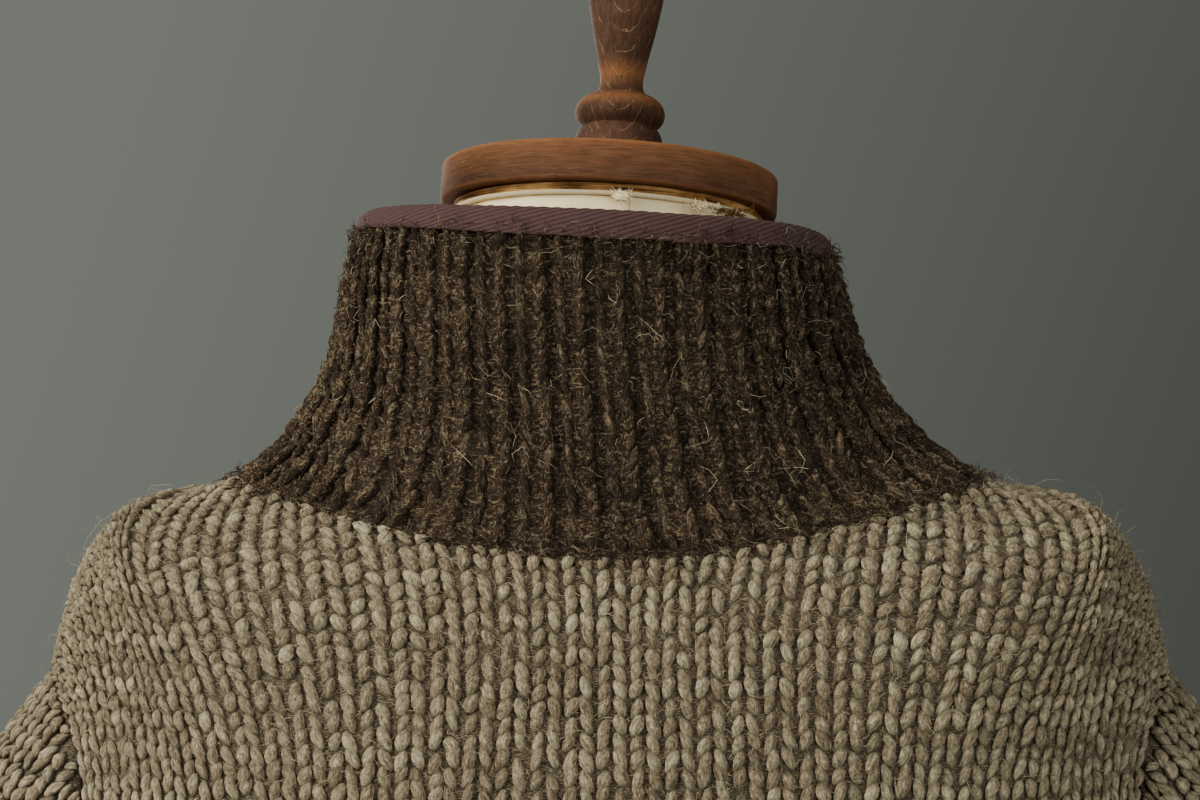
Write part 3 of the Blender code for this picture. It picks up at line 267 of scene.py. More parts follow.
def spline(stations, rows, at):
    """A smooth curve through rows, one at each station, read at the places in at."""
    stations, rows, at = (np.asarray(value, float) for value in (stations, rows, at))
    if stations[0] > stations[-1]:
        stations, rows = stations[::-1], rows[::-1]
    span = np.diff(stations)[:, None]
    slope = np.diff(rows, axis=0) / span
    between = (slope[1:] * span[:-1] + slope[:-1] * span[1:]) / (span[1:] + span[:-1])
    tangent = np.vstack([slope[:1], between, slope[-1:]])
    index = np.clip(np.searchsorted(stations, at, side="right") - 1, 0, len(stations) - 2)
    width = span[index]
    s = (at - stations[index])[:, None] / width
    return hermite(rows[index], tangent[index], rows[index + 1], tangent[index + 1], s, width)


def hump(distance):
    """1 at the middle, 0 from a distance of 1 on, smooth between."""
    return np.where(np.abs(distance) < 1, np.cos(np.clip(distance, -1, 1) * math.pi / 2) ** 2, 0.0)


# %% Body and neck
def fold_depth(height, shares, side):
    """How far the folds push the cloth out (or in, if negative) at this height."""
    depth = np.zeros_like(shares)
    for fold_side, share, foot, head, width, deep, lean in BODY_FOLDS:
        if fold_side == side and foot < height < head:
            rise = (height - foot) / (head - foot)
            strength = math.sin(math.pi * rise**0.7) ** 0.8
            middle = share + lean * rise * width * 2
            trough = hump((shares - middle) / width)
            ridge = hump((shares - middle) / width - FOLD_RIDGE_PLACE)
            depth += deep * strength * (trough - FOLD_RIDGE * ridge)
    return depth


def half_round(height, side):
    """A level section from the centre to the panel's edge: widths, depths, run along the cloth, roundness."""
    table = np.array(BODY_SECTIONS)
    width, back, front, roundness, edge = spline(table[:, 0], table[:, 1:], [height])[0]
    depth = back if side > 0 else front
    power = 2 / roundness
    last = math.asin(min(1.0, (min(edge, width) / width) ** (1 / power)))
    angle = np.linspace(0, last, 300)
    x, y = width * np.sin(angle) ** power, depth * np.cos(angle) ** power
    run = np.concatenate([[0], np.cumsum(np.hypot(np.diff(x), np.diff(y)))])
    return x, y, run, (width, depth, roundness)


def body_section(height, shares, side):
    """Points of a level section of the back (side 1) or the front (side -1), at shares of its half width."""
    x, y, run, (width, depth, roundness) = half_round(height, side)
    shares = np.asarray(shares, float)
    place = np.abs(shares) * run[-1]
    x, y = np.interp(place, run, x) * np.sign(shares), side * np.interp(place, run, y)
    facing = [
        np.sign(shares) * np.abs(x / width) ** (roundness - 1) / width,
        side * np.abs(y / depth) ** (roundness - 1) / depth,
        np.zeros_like(x),
    ]
    facing = unit(np.stack(facing, axis=-1))
    points = np.stack([x, y, np.full_like(x, height)], axis=-1)
    return points + facing * fold_depth(height, shares, side)[:, None]


def neck_seam(turns):
    """The seam between body and collar, from the centre back (0) to the centre front (pi)."""
    turns = np.asarray(turns, float)
    behind = np.cos(turns) >= 0
    drop = np.where(behind, NECK_BACK_DROP, NECK_FRONT_DROP)
    depth = np.where(behind, NECK_BACK, NECK_FRONT)
    height = NECK_SIDE_HEIGHT - drop * (1 - np.abs(np.sin(turns)) ** NECK_DIP)
    return np.stack([NECK_HALF_WIDTH * np.sin(turns), depth * np.cos(turns), height], axis=-1)


def neck_turns(shares, side):
    """The turns at which a panel's wales reach the neck. Those beyond it all get its last turn."""
    part = np.clip(np.abs(shares) / NECK_SHARE, 0, 1)
    end = NECK_SIDE_TURN if side > 0 else math.pi - NECK_SIDE_TURN
    turn = end * (0.61 * part + 0.39 * part**3)
    return turn if side > 0 else math.pi - turn


def along_surface(heading, facing):
    """The direction on a surface that is nearest to this heading."""
    return unit(heading - (heading * facing).sum(-1, keepdims=True) * facing)


def plan_heading(turn, side):
    """Level directions, turned this much away from straight inwards."""
    return np.stack([-np.sin(turn), -side * np.cos(turn), 0 * turn], axis=-1)


def top_edge(shares, side):
    """Points along the top of a panel, and the stitches that arrive there (their length is the fullness)."""
    shares = np.asarray(shares, float)
    mirror = np.where(shares < 0, -1.0, 1.0)[:, None] * [1, 0, 0] + [0, 1, 1]
    turns = neck_turns(shares, side)
    from_centre = turns / NECK_SIDE_TURN if side > 0 else (math.pi - turns) / (math.pi - NECK_SIDE_TURN)
    table = np.array(NECK_FACING)
    lies = spline(table[:, 0], table[:, 1:], from_centre)
    lift, heading, neck_fullness = np.radians(lies[:, 0]), np.radians(lies[:, 1]), lies[:, 2]
    depth = np.where(np.cos(turns) >= 0, NECK_BACK, NECK_FRONT)
    outward = unit(np.stack([np.sin(turns) / NECK_HALF_WIDTH, np.cos(turns) / depth, 0 * turns], axis=-1))
    facing = outward * np.cos(lift)[:, None] + np.array([0, 0, 1]) * np.sin(lift)[:, None]
    wales = along_surface(plan_heading(heading, side), facing)

    rows = np.array(SHOULDER_SEAM)
    run = run_along(rows[:, :3])
    part = np.clip((np.abs(shares) - NECK_SHARE) / (1 - NECK_SHARE), 0, 1) * run[-1]
    on_seam = spline(run, rows, part)
    ahead, behind = (spline(run, rows[:, :3], np.clip(part + step, 0, run[-1])) for step in (1e-4, -1e-4))
    tangent = unit(ahead - behind)
    up = unit(np.stack([-tangent[:, 2], 0 * part, tangent[:, 0]], axis=-1))
    seam_facing = up * math.cos(SEAM_FORWARD_TILT) + np.array([0, -1.0, 0]) * math.sin(SEAM_FORWARD_TILT)
    seam_wales = along_surface(plan_heading(np.radians(on_seam[:, 3]), side), seam_facing)

    over_shoulder = np.abs(shares) > NECK_SHARE
    points = np.where(over_shoulder[:, None], on_seam[:, :3], neck_seam(turns))
    fullness = np.where(over_shoulder, on_seam[:, 4], neck_fullness)
    if side < 0:
        fullness = 1 + (fullness - 1) * FRONT_FULLNESS
    wales = np.where(over_shoulder[:, None], seam_wales, wales) * fullness[:, None]
    return points * mirror, wales * mirror


def yoke(shares, stations, side):
    """The part of a panel above the yoke line, at stations from 0 to 1 up each wale."""
    start = body_section(YOKE, shares, side)
    below = body_section(YOKE - 0.002, shares, side)
    top, wales = top_edge(shares, side)
    reach = np.linalg.norm(top - start, axis=-1, keepdims=True)
    stations = np.asarray(stations, float)[:, None, None]
    return hermite(start, unit(start - below) * reach * YOKE_RISE, top, wales * reach, stations)


# %% Collar and sleeves
def collar_top_height(turns):
    """The collar's upper edge: low at the centre back, highest at one side, and dipping to the zip."""
    sideways = np.sin(turns)
    front = np.where(np.cos(turns) < 0, COLLAR_TOP_FRONT * np.cos(turns) ** 2, 0)
    return COLLAR_TOP_BACK + COLLAR_TOP_SIDE * sideways**2 + COLLAR_TOP_TILT * sideways + front


def collar_points(turns, shares):
    """Points of the collar at turns from the centre back and shares of its height, both of one shape."""
    turns, shares = np.asarray(turns, float), np.asarray(shares, float)
    table = np.array(COLLAR_SECTIONS)
    width, back, front, shift = spline(table[:, 0], table[:, 1:], shares.ravel()).T.reshape(4, *shares.shape)
    foot = neck_seam(np.abs(turns))[..., 2]
    depth = np.where(np.cos(turns) >= 0, back, front)
    x = width * np.sin(turns) + shift * (1 - ((1 - np.cos(turns)) / 2) ** 2)
    in_front = np.cos(turns) < -0.9
    x = np.where(in_front, np.sign(turns) * np.maximum(np.abs(x), SLIT_HALF), x)
    height = foot * (1 - shares) + collar_top_height(turns) * shares
    return np.stack([x, depth * np.cos(turns), height], axis=-1)


def sleeve_ring(height, turns, side):
    """One section of a sleeve. Turns run from the underarm (-90 degrees) by the back to the top (90)."""
    table = np.array(SLEEVE_SECTIONS)
    x, y, deep, thick, tilt = spline(table[:, 0], table[:, 1:], [height])[0]
    tilt = math.radians(tilt)
    out, back = thick * np.sin(turns), deep * np.cos(turns)
    for turn, foot, head, width, depth, lean in SLEEVE_FOLDS:
        if foot < height < head:
            rise = (height - foot) / (head - foot)
            away = np.degrees(turns) - turn - lean * (rise - 0.5)
            away = (away + 180) % 360 - 180
            push = 1 + depth * math.sin(math.pi * rise) * hump(away / width) / thick
            out, back = out * push, back * push
    points = np.stack([x + out * math.cos(tilt), y + back, height + out * math.sin(tilt)], axis=-1)
    return points * [side, 1, 1]


def armhole_point(turns, side):
    """The armhole's seam where each of the sleeve's turns meets it."""
    fine = np.linspace(0, 1, 11 * 16 + 1)  # sixteen steps between two stations of the seam
    low = fine <= 5 / 11 + 1e-9
    levels = np.interp(fine[low] * 11, range(6), ARMHOLE_HEIGHTS)
    upper = (fine[~low] * 11 - 5) / 6
    edges = []
    for face in (1, -1):
        lower_part = np.concatenate([body_section(level, [float(side)], face) for level in levels])
        edges.append(np.concatenate([lower_part, yoke([float(side)], upper, face)[:, 0]]))
    turns = np.asarray(turns)
    behind = turns <= math.pi / 2
    part = np.where(behind, turns + math.pi / 2, 1.5 * math.pi - turns) / math.pi
    read = [np.stack([np.interp(part, fine, edge[:, axis]) for axis in range(3)], axis=-1) for edge in edges]
    return np.where(behind[:, None], read[0], read[1])


def sleeve_cap(turns, stations, side):
    """The sleeve between its first whole ring (station 0) and the armhole's seam (station 1)."""
    seam = armhole_point(turns, side)
    first, second = (sleeve_ring(level, turns, side) for level in (SLEEVE_HEAD, SLEEVE_HEAD - 0.010))
    reach = np.linalg.norm(first - seam, axis=-1, keepdims=True)
    away = np.array([SLEEVE_LEAVES[0] * side, 0, SLEEVE_LEAVES[1]])
    leave = unit(first - seam) + away * reach / reach.max()
    arrive = unit(second - first) * reach * SLEEVE_ARRIVES
    return hermite(seam, leave * reach, first, arrive, (1 - np.asarray(stations, float))[:, None, None])


for level in (HEM_RIB_TOP, UNDERARM, ZIP_BOTTOM, YOKE):
    print("half of the back at", level, "is", round(half_round(level, 1)[2][-1] * 1000, 1), "mm wide")

# %% [markdown]
# ## From a surface to stitches
#
# A knitted fabric is a mesh of loops. Its columns are called wales and its rows are called courses. A texture
# could paint them, but thick yarn shows at the outline and throws shadows, so every leg of every loop is a
# small leaf-shaped solid here. `Cloth` turns a place in wales and courses into a place in space, and then one
# function can lay any number of legs on the body, the sleeves or the collar.

# %% Gauge and random numbers
WALE, COURSE = 0.0108, 0.00555  # width and height of one stitch
GRID_WALE, GRID_COURSE = 0.25, 0.5  # a surface is worked out this finely, in stitches
rng = np.random.default_rng(7)


# %% Cloth
def fill_outwards(vectors, axis):
    """Gives places with no direction of their own that of their neighbour nearer to the middle or foot."""
    vectors = np.moveaxis(vectors, axis, 0)
    start = len(vectors) // 2 if axis == 1 else 0
    for order in (range(start + 1, len(vectors)), range(start - 1, -1, -1)):
        step = 1 if order.step > 0 else -1
        for index in order:
            empty = np.linalg.norm(vectors[index], axis=-1) < 0.5
            vectors[index][empty] = vectors[index - step][empty]
    return np.moveaxis(vectors, 0, axis)


class Cloth:
    """A surface on a regular grid of wales (columns) and courses (rows), read at any place between them."""

    def __init__(self, wales, courses, points, outward, tops, edges):
        self.wales, self.courses, self.points = wales, courses, points
        self.tops, self.edges = tops, edges  # last course of each wale, and last wale of each course
        normals = unit(np.cross(np.gradient(points, axis=1), np.gradient(points, axis=0)))
        flip = np.sign((normals * outward).sum(-1).mean())
        self.normals = fill_outwards(fill_outwards(normals * flip, 1), 0)

    def read(self, grid, w, v):
        """Values between the grid's points. Two courses past the foot, the grid runs on straight."""
        across = np.clip((w - self.wales[0]) / GRID_WALE, 0, len(self.wales) - 1.001)
        up = np.clip((v - self.courses[0]) / GRID_COURSE, -2 / GRID_COURSE, len(self.courses) - 1.001)
        i, j = np.maximum(up, 0).astype(int), across.astype(int)
        a, b = (up - i)[..., None], (across - j)[..., None]
        low = grid[i, j] * (1 - b) + grid[i, j + 1] * b
        high = grid[i + 1, j] * (1 - b) + grid[i + 1, j + 1] * b
        return low * (1 - a) + high * a

    def place(self, w, v, height):
        """A point at this wale and course, and this height in metres above the cloth's outer face."""
        w, v, height = np.broadcast_arrays(w, v, height)
        point = self.read(self.points, w, v) + unit(self.read(self.normals, w, v)) * height[..., None]
        return point + [0, 0, CAP_HEIGHT]

    def holds(self, w, v, margin=0.0):
        """Whether stitches at these places lie on the panel."""
        inside = np.abs(w) <= np.interp(v, self.courses, self.edges) + margin
        return inside & (v <= np.interp(w, self.wales, self.tops) + margin) & (v >= self.courses[0] - 0.5)


def grid_lines(low, high, step):
    return np.arange(round(low / step), round(high / step) + 1) * step


def up_the_wales(curve, run, reach):
    """A row of points at this distance up the wales of a curved part."""
    return [[np.interp(reach, r, line) for line in c.T] for r, c in zip(run.T, curve.swapaxes(0, 1))]


# %% Body cloths
BODY_WALES, YOKE_WALES = 26, 19  # across half a panel: the most there can be, and above the armhole
YOKE_COURSE = (YOKE - HEM_RIB_TOP) / COURSE


def wales_across(height, side):
    """Wales across half a panel at this height. Some end at the armhole, and the rest run straight up."""
    full, yoke_width = (half_round(level, side)[2][-1] for level in (max(height, UNDERARM), YOKE))
    return min(float(BODY_WALES), full * YOKE_WALES / yoke_width)


def body_cloth(side):
    """The back (side 1) or the front (side -1), in wales from its centre and courses from its hem."""
    wales = grid_lines(-BODY_WALES, BODY_WALES, GRID_WALE)
    shares = np.clip(wales / YOKE_WALES, -1, 1)
    curve = yoke(shares, np.linspace(0, 1, 90), side)
    run = run_along(curve)
    tops = YOKE_COURSE + run[-1] / COURSE
    courses = grid_lines(0, tops.max() + 1, GRID_COURSE)
    rows, edges = [], []
    for course in courses:
        height = HEM_RIB_TOP + course * COURSE
        across = wales_across(min(height, YOKE), side)
        edges.append(across)
        if height <= YOKE:
            rows.append(body_section(height, np.clip(wales / across, -1, 1), side))
        else:
            rows.append(up_the_wales(curve, run, (course - YOKE_COURSE) * COURSE))
    points = np.array(rows)
    return Cloth(wales, courses, points, points * [1, 1, 0], tops, np.array(edges))


back_cloth, front_cloth = body_cloth(1), body_cloth(-1)
print("back:", len(back_cloth.courses) / 2, "courses, centre wale ends at", round(back_cloth.tops.min(), 1))


# %% Sleeve cloths
def sleeve_cloth(side):
    """A sleeve, in wales from its top line (wearer's back is positive) and courses from its cuff."""
    dense = np.linspace(-math.pi / 2, math.pi * 1.5, 721)

    def ring_turns(height, wales):
        """The turns of these wales, evenly spaced along the cloth from the top line at this height."""
        ring = sleeve_ring(height, dense, side)
        run = run_along(ring)
        top = np.interp(math.pi / 2, dense, run)
        half = run[-1] / 2 / WALE
        place = np.clip(wales / half, -1, 1)
        span = np.where(place > 0, top, run[-1] - top)
        return np.interp(top - place * span, run, dense), half

    widest = math.ceil(ring_turns(SLEEVE_HEAD, np.zeros(1))[1])
    wales = grid_lines(-widest, widest, GRID_WALE)
    turns, across_head = ring_turns(SLEEVE_HEAD, wales)
    curve = sleeve_cap(turns, np.linspace(0, 1, 90), side)
    run = run_along(curve)
    head_course = (SLEEVE_HEAD - SLEEVE_END) / COURSE
    tops = head_course + run[-1] / COURSE
    courses = grid_lines(0, tops.max() + 1, GRID_COURSE)
    rows, edges, outward = [], [], []
    for course in courses:
        height = SLEEVE_END + course * COURSE
        if height <= SLEEVE_HEAD:
            turns_here, across = ring_turns(height, wales)
            rows.append(sleeve_ring(height, turns_here, side))
        else:
            across = across_head
            rows.append(up_the_wales(curve, run, (course - head_course) * COURSE))
        edges.append(across)
        outward.append(np.array(rows[-1]) - np.mean(rows[-1], axis=0))
    return Cloth(wales, courses, np.array(rows), np.array(outward), tops, np.array(edges))


sleeve_cloths = {1: sleeve_cloth(1), -1: sleeve_cloth(-1)}
print("sleeve:", sleeve_cloths[1].wales[-1] * 2, "wales round the head")

# %% Collar cloth
COLLAR_RIBS, COLLAR_COURSES = 37, 21
SEAM_SPREAD = 0.40  # the ribs stand this much further apart at the front of the seam than at its back


def collar_cloth():
    """The collar, in ribs from its centre back (wearer's left is positive) and courses from its seam."""
    half = COLLAR_RIBS / 2
    ribs = grid_lines(-half, half, GRID_WALE)
    courses = grid_lines(0, COLLAR_COURSES, GRID_COURSE)
    dense = np.linspace(0, math.pi, 721)
    turns = []
    for share, spread in ((0.0, SEAM_SPREAD), (1.0, 0.0)):
        ring = collar_points(dense, np.full_like(dense, share))
        run = run_along(ring[:, :2])
        place = np.abs(ribs) / half
        spaced = (place + spread / 2 * place**2) / (1 + spread / 2)
        turns.append(np.interp(spaced * run[-1], run, dense) * np.sign(ribs))
    share = (courses / COLLAR_COURSES)[:, None]
    turns = turns[0] * (1 - share) + turns[1] * share
    points = collar_points(turns, np.broadcast_to(share, turns.shape))
    tops, edges = np.full(len(ribs), courses[-1]), np.full(len(courses), half)
    return Cloth(ribs, courses, points, points * [1, 1, 0], tops, edges)


collar = collar_cloth()
print("collar:", len(collar.wales), "by", len(collar.courses), "grid points")

# %% [markdown]
# ## Wool
#
# The yarn is carded wool, spun thick and thin from fleece of several browns. It is dull, because its fibres
# scatter the light, and its colour changes within one stitch as the strands twist. The pattern follows each
# leg through an attribute, so it can't slide. Another attribute says how deep a point lies between the legs,
# where the marl is painted over with a dark gap colour: painted shade in the hollows.


# %% Wool material
def wool(name, stops, gap_shade, fibre_bump, sheen_tint, curl_size, curl_weight):
    """Marled wool. stops are (place, colour) from the darkest strand to the lightest, and the colour after
    them is painted shade, the dark colour that fills the gaps between the legs. curl_size is the width in mm
    of the curls that loose fibres make."""
    matt = {"Roughness": 0.95, "Specular IOR Level": 0.15}
    bloom = {"Sheen Weight": 0.25, "Sheen Roughness": 0.5, "Sheen Tint": linear(sheen_tint)}
    material, tree, shader = new_material(name, {**matt, **bloom})
    yarn = add_node(tree, "Attribute", {"attribute_name": "yarn"})
    tone = add_node(tree, "Attribute", {"attribute_name": "tone"})
    # Strands about 3 mm long and 0.8 mm wide, turned by the twist of the yarn.
    strands = add_node(
        tree, "Mapping", links={"Vector": yarn.outputs["Vector"]},
        values={"Rotation": (0, 0, math.radians(24)), "Scale": (0.38, 1.1, 1.0)},
    )
    marl = add_node(
        tree, "TexNoise", links={"Vector": strands},
        values={"Scale": 1.0, "Detail": 4.0, "Roughness": 0.62, "Distortion": 0.5},
    )
    # Single fibres are far too thin to show. These are 0.3 mm, the finest that reads at this distance.
    fibres = add_node(
        tree, "Mapping", links={"Vector": yarn.outputs["Vector"]},
        values={"Rotation": (0, 0, math.radians(32)), "Scale": (0.8, 3.6, 1.0)},
    )
    fuzz = add_node(
        tree, "TexNoise", links={"Vector": fibres}, values={"Scale": 1.0, "Detail": 3.0, "Roughness": 0.7}
    )
    # Where a noise crosses its middle value it draws thin curved lines, like fibres that lie on the yarn.
    place = add_node(tree, "TexCoord")
    curls = add_node(
        tree, "TexNoise", links={"Vector": place.outputs["Object"]},
        values={"Scale": 1000 / curl_size, "Detail": 1.0, "Roughness": 0.5, "Distortion": 1.2},
    )
    off_line = add_node(tree, "Math", {"operation": "SUBTRACT"}, {0: curls}, {1: 0.5})
    distance = add_node(tree, "Math", {"operation": "ABSOLUTE"}, {0: off_line})
    lines = add_node(
        tree, "MapRange", {"interpolation_type": "SMOOTHSTEP"}, {"Value": distance},
        {"From Min": 0.0, "From Max": 0.055, "To Min": curl_weight, "To Max": 0.0},
    )
    both = add_node(tree, "Math", {"operation": "MULTIPLY_ADD"}, {0: marl, 2: tone.outputs["Fac"]}, {1: 1.9})
    mixed = add_node(tree, "Math", {"operation": "MULTIPLY_ADD"}, {0: fuzz, 2: both}, {1: 1.9})
    curled = add_node(tree, "Math", links={0: mixed, 1: lines})
    centred = add_node(tree, "Math", {"operation": "SUBTRACT"}, {0: curled}, {1: 1.40})
    ramp = add_node(tree, "ValToRGB", links={"Fac": centred}, stops=stops)
    # Painted shade: points that lie deep between two legs get the dark gap colour. Loose fibres cross the
    # gaps, so this painted shade has a ragged edge and pale flecks.
    deep = add_node(tree, "Attribute", {"attribute_name": "deep"})
    flecks = add_node(
        tree, "MapRange", links={"Value": fuzz},
        values={"From Min": 0.34, "From Max": 0.62, "To Min": 1.35, "To Max": 0.30},
    )
    ragged = add_node(
        tree, "Math", {"operation": "MULTIPLY", "use_clamp": True}, {0: deep.outputs["Fac"], 1: flecks}
    )
    shaded = add_node(tree, "Mix", {"data_type": "RGBA"}, {0: ragged, 6: ramp}, {7: linear(gap_shade)})
    bump = add_node(
        tree, "Bump", links={"Height": curled}, values={"Strength": fibre_bump, "Distance": 0.0006}
    )
    connect(tree, shader, {"Base Color": shaded.outputs[2], "Normal": bump})
    return material


# Oatmeal: grey-brown fleece with pale strands. Its dark gap colour is painted shade, which leaves each leg
# lighter on its crown.
oat_wool = wool(
    "marled oatmeal wool",
    ((0.00, "#483b2b"), (0.28, "#6c5f49"), (0.52, "#877a60"), (0.78, "#9f9277"), (1.00, "#bfb292")),
    "#2f2319", 0.7, "#bfb294", 2.6, 0.22,
)
# Undyed dark brown fleece with a few paler strands, so fuzzy that single legs hardly show. Its gap colour is
# painted shade.
brown_wool = wool(
    "dark brown fleece wool",
    ((0.00, "#140e09"), (0.35, "#261c13"), (0.62, "#382b1e"), (0.86, "#564733"), (1.00, "#7f6f56")),
    "#100b07", 0.8, "#5c4d3c", 3.2, 0.55,
)
print("wools:", oat_wool.name, "and", brown_wool.name)


# %% [markdown]
# ## Pieces from points
#
# Thousands of legs in one mesh are far quicker to make from arrays than with operators. Each leg is a stack
# of small rings between two points: it starts high at the foot of its stitch, is fullest in the middle, and
# dives under the next stitch at its top.


# %% Mesh from arrays
def triangle_count(piece):
    return sum(len(face.vertices) - 2 for face in piece.data.polygons)


def settle(piece, material, node=None, body=BODY):
    """Gives a piece its material and slot and the body that it rides on, and hides the node that it stands
    for.
    """
    piece.data.materials.append(material)
    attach(piece, body)
    if node:
        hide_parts(node)


def mesh_piece(name, points, faces, material, attributes, node=None, smooth=True):
    """A piece from points and quads (a triangle's fourth corner is -1). attributes hold a value per point."""
    points, faces = np.asarray(points, np.float32), np.asarray(faces, np.int32)
    corners = faces.ravel()
    corners = corners[corners >= 0]
    totals = (faces >= 0).sum(1)
    mesh = bpy.data.meshes.new(name)
    mesh.vertices.add(len(points))
    mesh.vertices.foreach_set("co", points.ravel())
    mesh.loops.add(len(corners))
    mesh.loops.foreach_set("vertex_index", corners)
    mesh.polygons.add(len(faces))
    mesh.polygons.foreach_set("loop_start", np.concatenate([[0], totals.cumsum()[:-1]]).astype(np.int32))
    for key, values in attributes.items():
        kind = "FLOAT_VECTOR" if values.ndim == 2 else "FLOAT"
        layer = mesh.attributes.new(key, kind, "POINT")
        layer.data.foreach_set("vector" if values.ndim == 2 else "value", values.astype(np.float32).ravel())
    mesh.update(calc_edges=True)
    mesh.validate()
    mesh.polygons.foreach_set("use_smooth", [smooth] * len(mesh.polygons))
    piece = bpy.data.objects.new(name, mesh)
    bpy.context.scene.collection.objects.link(piece)
    settle(piece, material, node)
    return piece


def tube_faces(count, rings, sides):
    """Faces of count closed tubes. Each has a point at its foot, its rings, and a point at its tip."""
    faces = []
    ring = lambda r, k: 1 + r * sides + k % sides
    tip = rings * sides + 1
    for k in range(sides):
        faces.append((0, ring(0, k + 1), ring(0, k), -1))
        for r in range(rings - 1):
            faces.append((ring(r, k), ring(r, k + 1), ring(r + 1, k + 1), ring(r + 1, k)))
        faces.append((ring(rings - 1, k), ring(rings - 1, k + 1), tip, -1))
    faces = np.array(faces)
    shifted = faces[None] + np.arange(count)[:, None, None] * (tip + 1)
    shifted[np.broadcast_to(faces[None] < 0, shifted.shape)] = -1
    return shifted.reshape(-1, 4)


def pinched(values):
    """Values by tube, ring and side in one row, the first and the last ring drawn together to a point."""
    count, rings, sides = values.shape[:3]
    flat = values.reshape(count, rings * sides, *values.shape[3:])
    return flat[:, np.r_[0, sides : (rings - 1) * sides + 1]].reshape(-1, *values.shape[3:])


# %% Legs
# Along a leg: share of its length, half width as a share of the widest, height of its middle in mm.
FINE_LEG = (
    # along, width, height
    (0.00, 0.00, -1.7),
    (0.17, 0.64, -1.3),
    (0.40, 1.00, -0.95),
    (0.64, 0.96, -0.95),
    (0.85, 0.60, -1.45),
    (1.00, 0.00, -2.1),
)
PLAIN_LEG = (
    # along, width, height
    (0.00, 0.00, -1.8),
    (0.32, 1.00, -1.0),
    (0.70, 0.94, -1.05),
    (1.00, 0.00, -2.2),
)
FINE_SECTION = (-35, 20, 90, 160, 215)  # degrees round a leg, where its long edges run
MIDDLE_SECTION = (-35, 45, 135, 215)
PLAIN_SECTION = (-30, 90, 210)
LEG_THICKNESS, LEG_LIFT = 0.0014, 0.12  # the lift is a share of the thickness
LEG_BOW = 0.012  # in wales, outwards at the leg's middle
UNEVEN = 0.07  # how much a leg's girth varies
# Painted shade: how a leg's points darken to the wool's gap colour as they lie lower between the legs.
GAP_TOP, GAP_DEPTH = 0.0003, 0.0024  # where the dark between the legs begins, and how far down it is full
GAP_CURVE, GAP_SHADE_STRENGTH = 1.4, 0.85
NEXT_LEG, TONE_SHIFT = 3.7, 40  # mm in the wool's pattern from leg to leg, and for one unit of tone


def leg_piece(
    name, cloth, stitches, material, table=FINE_LEG, section=FINE_SECTION, thickness=LEG_THICKNESS, full=1.0
):
    """Legs on a cloth. stitches holds one row for each: foot wale and course, top wale and course, half width
    in wales, height in metres, tone. full widens legs of few sides, which look thinner than they are."""
    w0, v0, w1, v1, half, lift, tone = (column[:, None, None] for column in stitches.T)
    along, width, height = (np.array(column)[None, :, None] for column in zip(*table))
    angle = np.radians(section)[None, None, :]
    girth = 1 + rng.uniform(-UNEVEN, UNEVEN, (len(stitches), len(table), 1))
    across = full * half * width * girth * np.cos(angle)
    up = thickness * width * girth * (np.sin(angle) + LEG_LIFT)
    bow = LEG_BOW * np.sin(np.pi * along) * np.sign(w1 - w0)
    w = w0 + (w1 - w0) * along + bow + across
    v = np.broadcast_to(v0 + (v1 - v0) * along, w.shape)
    rise = height * 0.001 + lift + up
    # The wool's pattern in mm: along the leg, round it, and each leg in a place of its own.
    length = (v1 - v0) * COURSE * 1000
    own_place = np.arange(len(stitches))[:, None, None] * NEXT_LEG
    yarn = (along * length + tone * TONE_SHIFT, angle * thickness * 1000, own_place)
    yarn = np.stack([np.broadcast_to(part, w.shape) for part in yarn], axis=-1)
    # Painted shade, darker the lower a point lies between the legs.
    deep = np.clip((GAP_TOP - rise) / GAP_DEPTH, 0, 1) ** GAP_CURVE * GAP_SHADE_STRENGTH
    values = {"yarn": yarn, "tone": np.broadcast_to(tone, w.shape), "deep": np.broadcast_to(deep, w.shape)}
    values = {key: pinched(value) for key, value in values.items()}
    faces = tube_faces(len(stitches), len(table) - 2, len(section))
    piece = mesh_piece(name, pinched(cloth.place(w, v, rise)), faces, material, values)
    print(name, len(stitches), "legs,", triangle_count(piece), "triangles")
    return piece


def slow_noise(rows, columns, spacing):
    """Uneven values from -1 to 1 along each course, as the yarn runs from thick to thin."""
    knots = rng.uniform(-1, 1, (rows, int(columns / spacing) + 3))
    at = np.arange(columns) / spacing
    index = at.astype(int)
    part = (1 - np.cos((at - index) * math.pi)) / 2
    return knots[:, index] * (1 - part) + knots[:, index + 1] * part


LEG_FOOT, LEG_TOP, LEG_HALF = 0.148, 0.350, 0.194  # from the middle of the stitch, in wales
LEG_REACH = 1.55  # courses from foot to top
LEG_SPREAD = dict(girth=0.07, foot=0.026, top=0.028, start=0.12, reach=0.14, lift=0.00028, tone=0.085)
THICK_GIRTH, THICK_LIFT, SHADE_TONE = 0.16, 0.00025, 0.15  # what the yarn's slow changes do to a leg
SEAM_LIFT, SHORTEST = 0.0004, 0.7  # metres that the seam raises a leg, and courses that are left of it
MOST_STITCHES, STRETCH_BIAS = 3, 0.62  # in place of one, and when a wide place gets one more


def increases(cloth, k, r):
    """Where the cloth is stretched so wide that one wale has become two or three: each stitch's index, once
    for every stitch in its place, the share of the wale that each has, and its place within the wale."""
    left, right = (cloth.read(cloth.points, k + step, r + 0.5) for step in (-0.5, 0.5))
    spread = np.linalg.norm(right - left, axis=-1) / WALE
    number = np.clip(np.floor(spread + STRETCH_BIAS), 1, MOST_STITCHES).astype(int)
    index = np.repeat(np.arange(len(k)), number)
    part = np.arange(len(index)) - np.repeat(np.cumsum(number) - number, number)
    share = 1 / number[index]
    return index, share, (part + 0.5) * share - 0.5


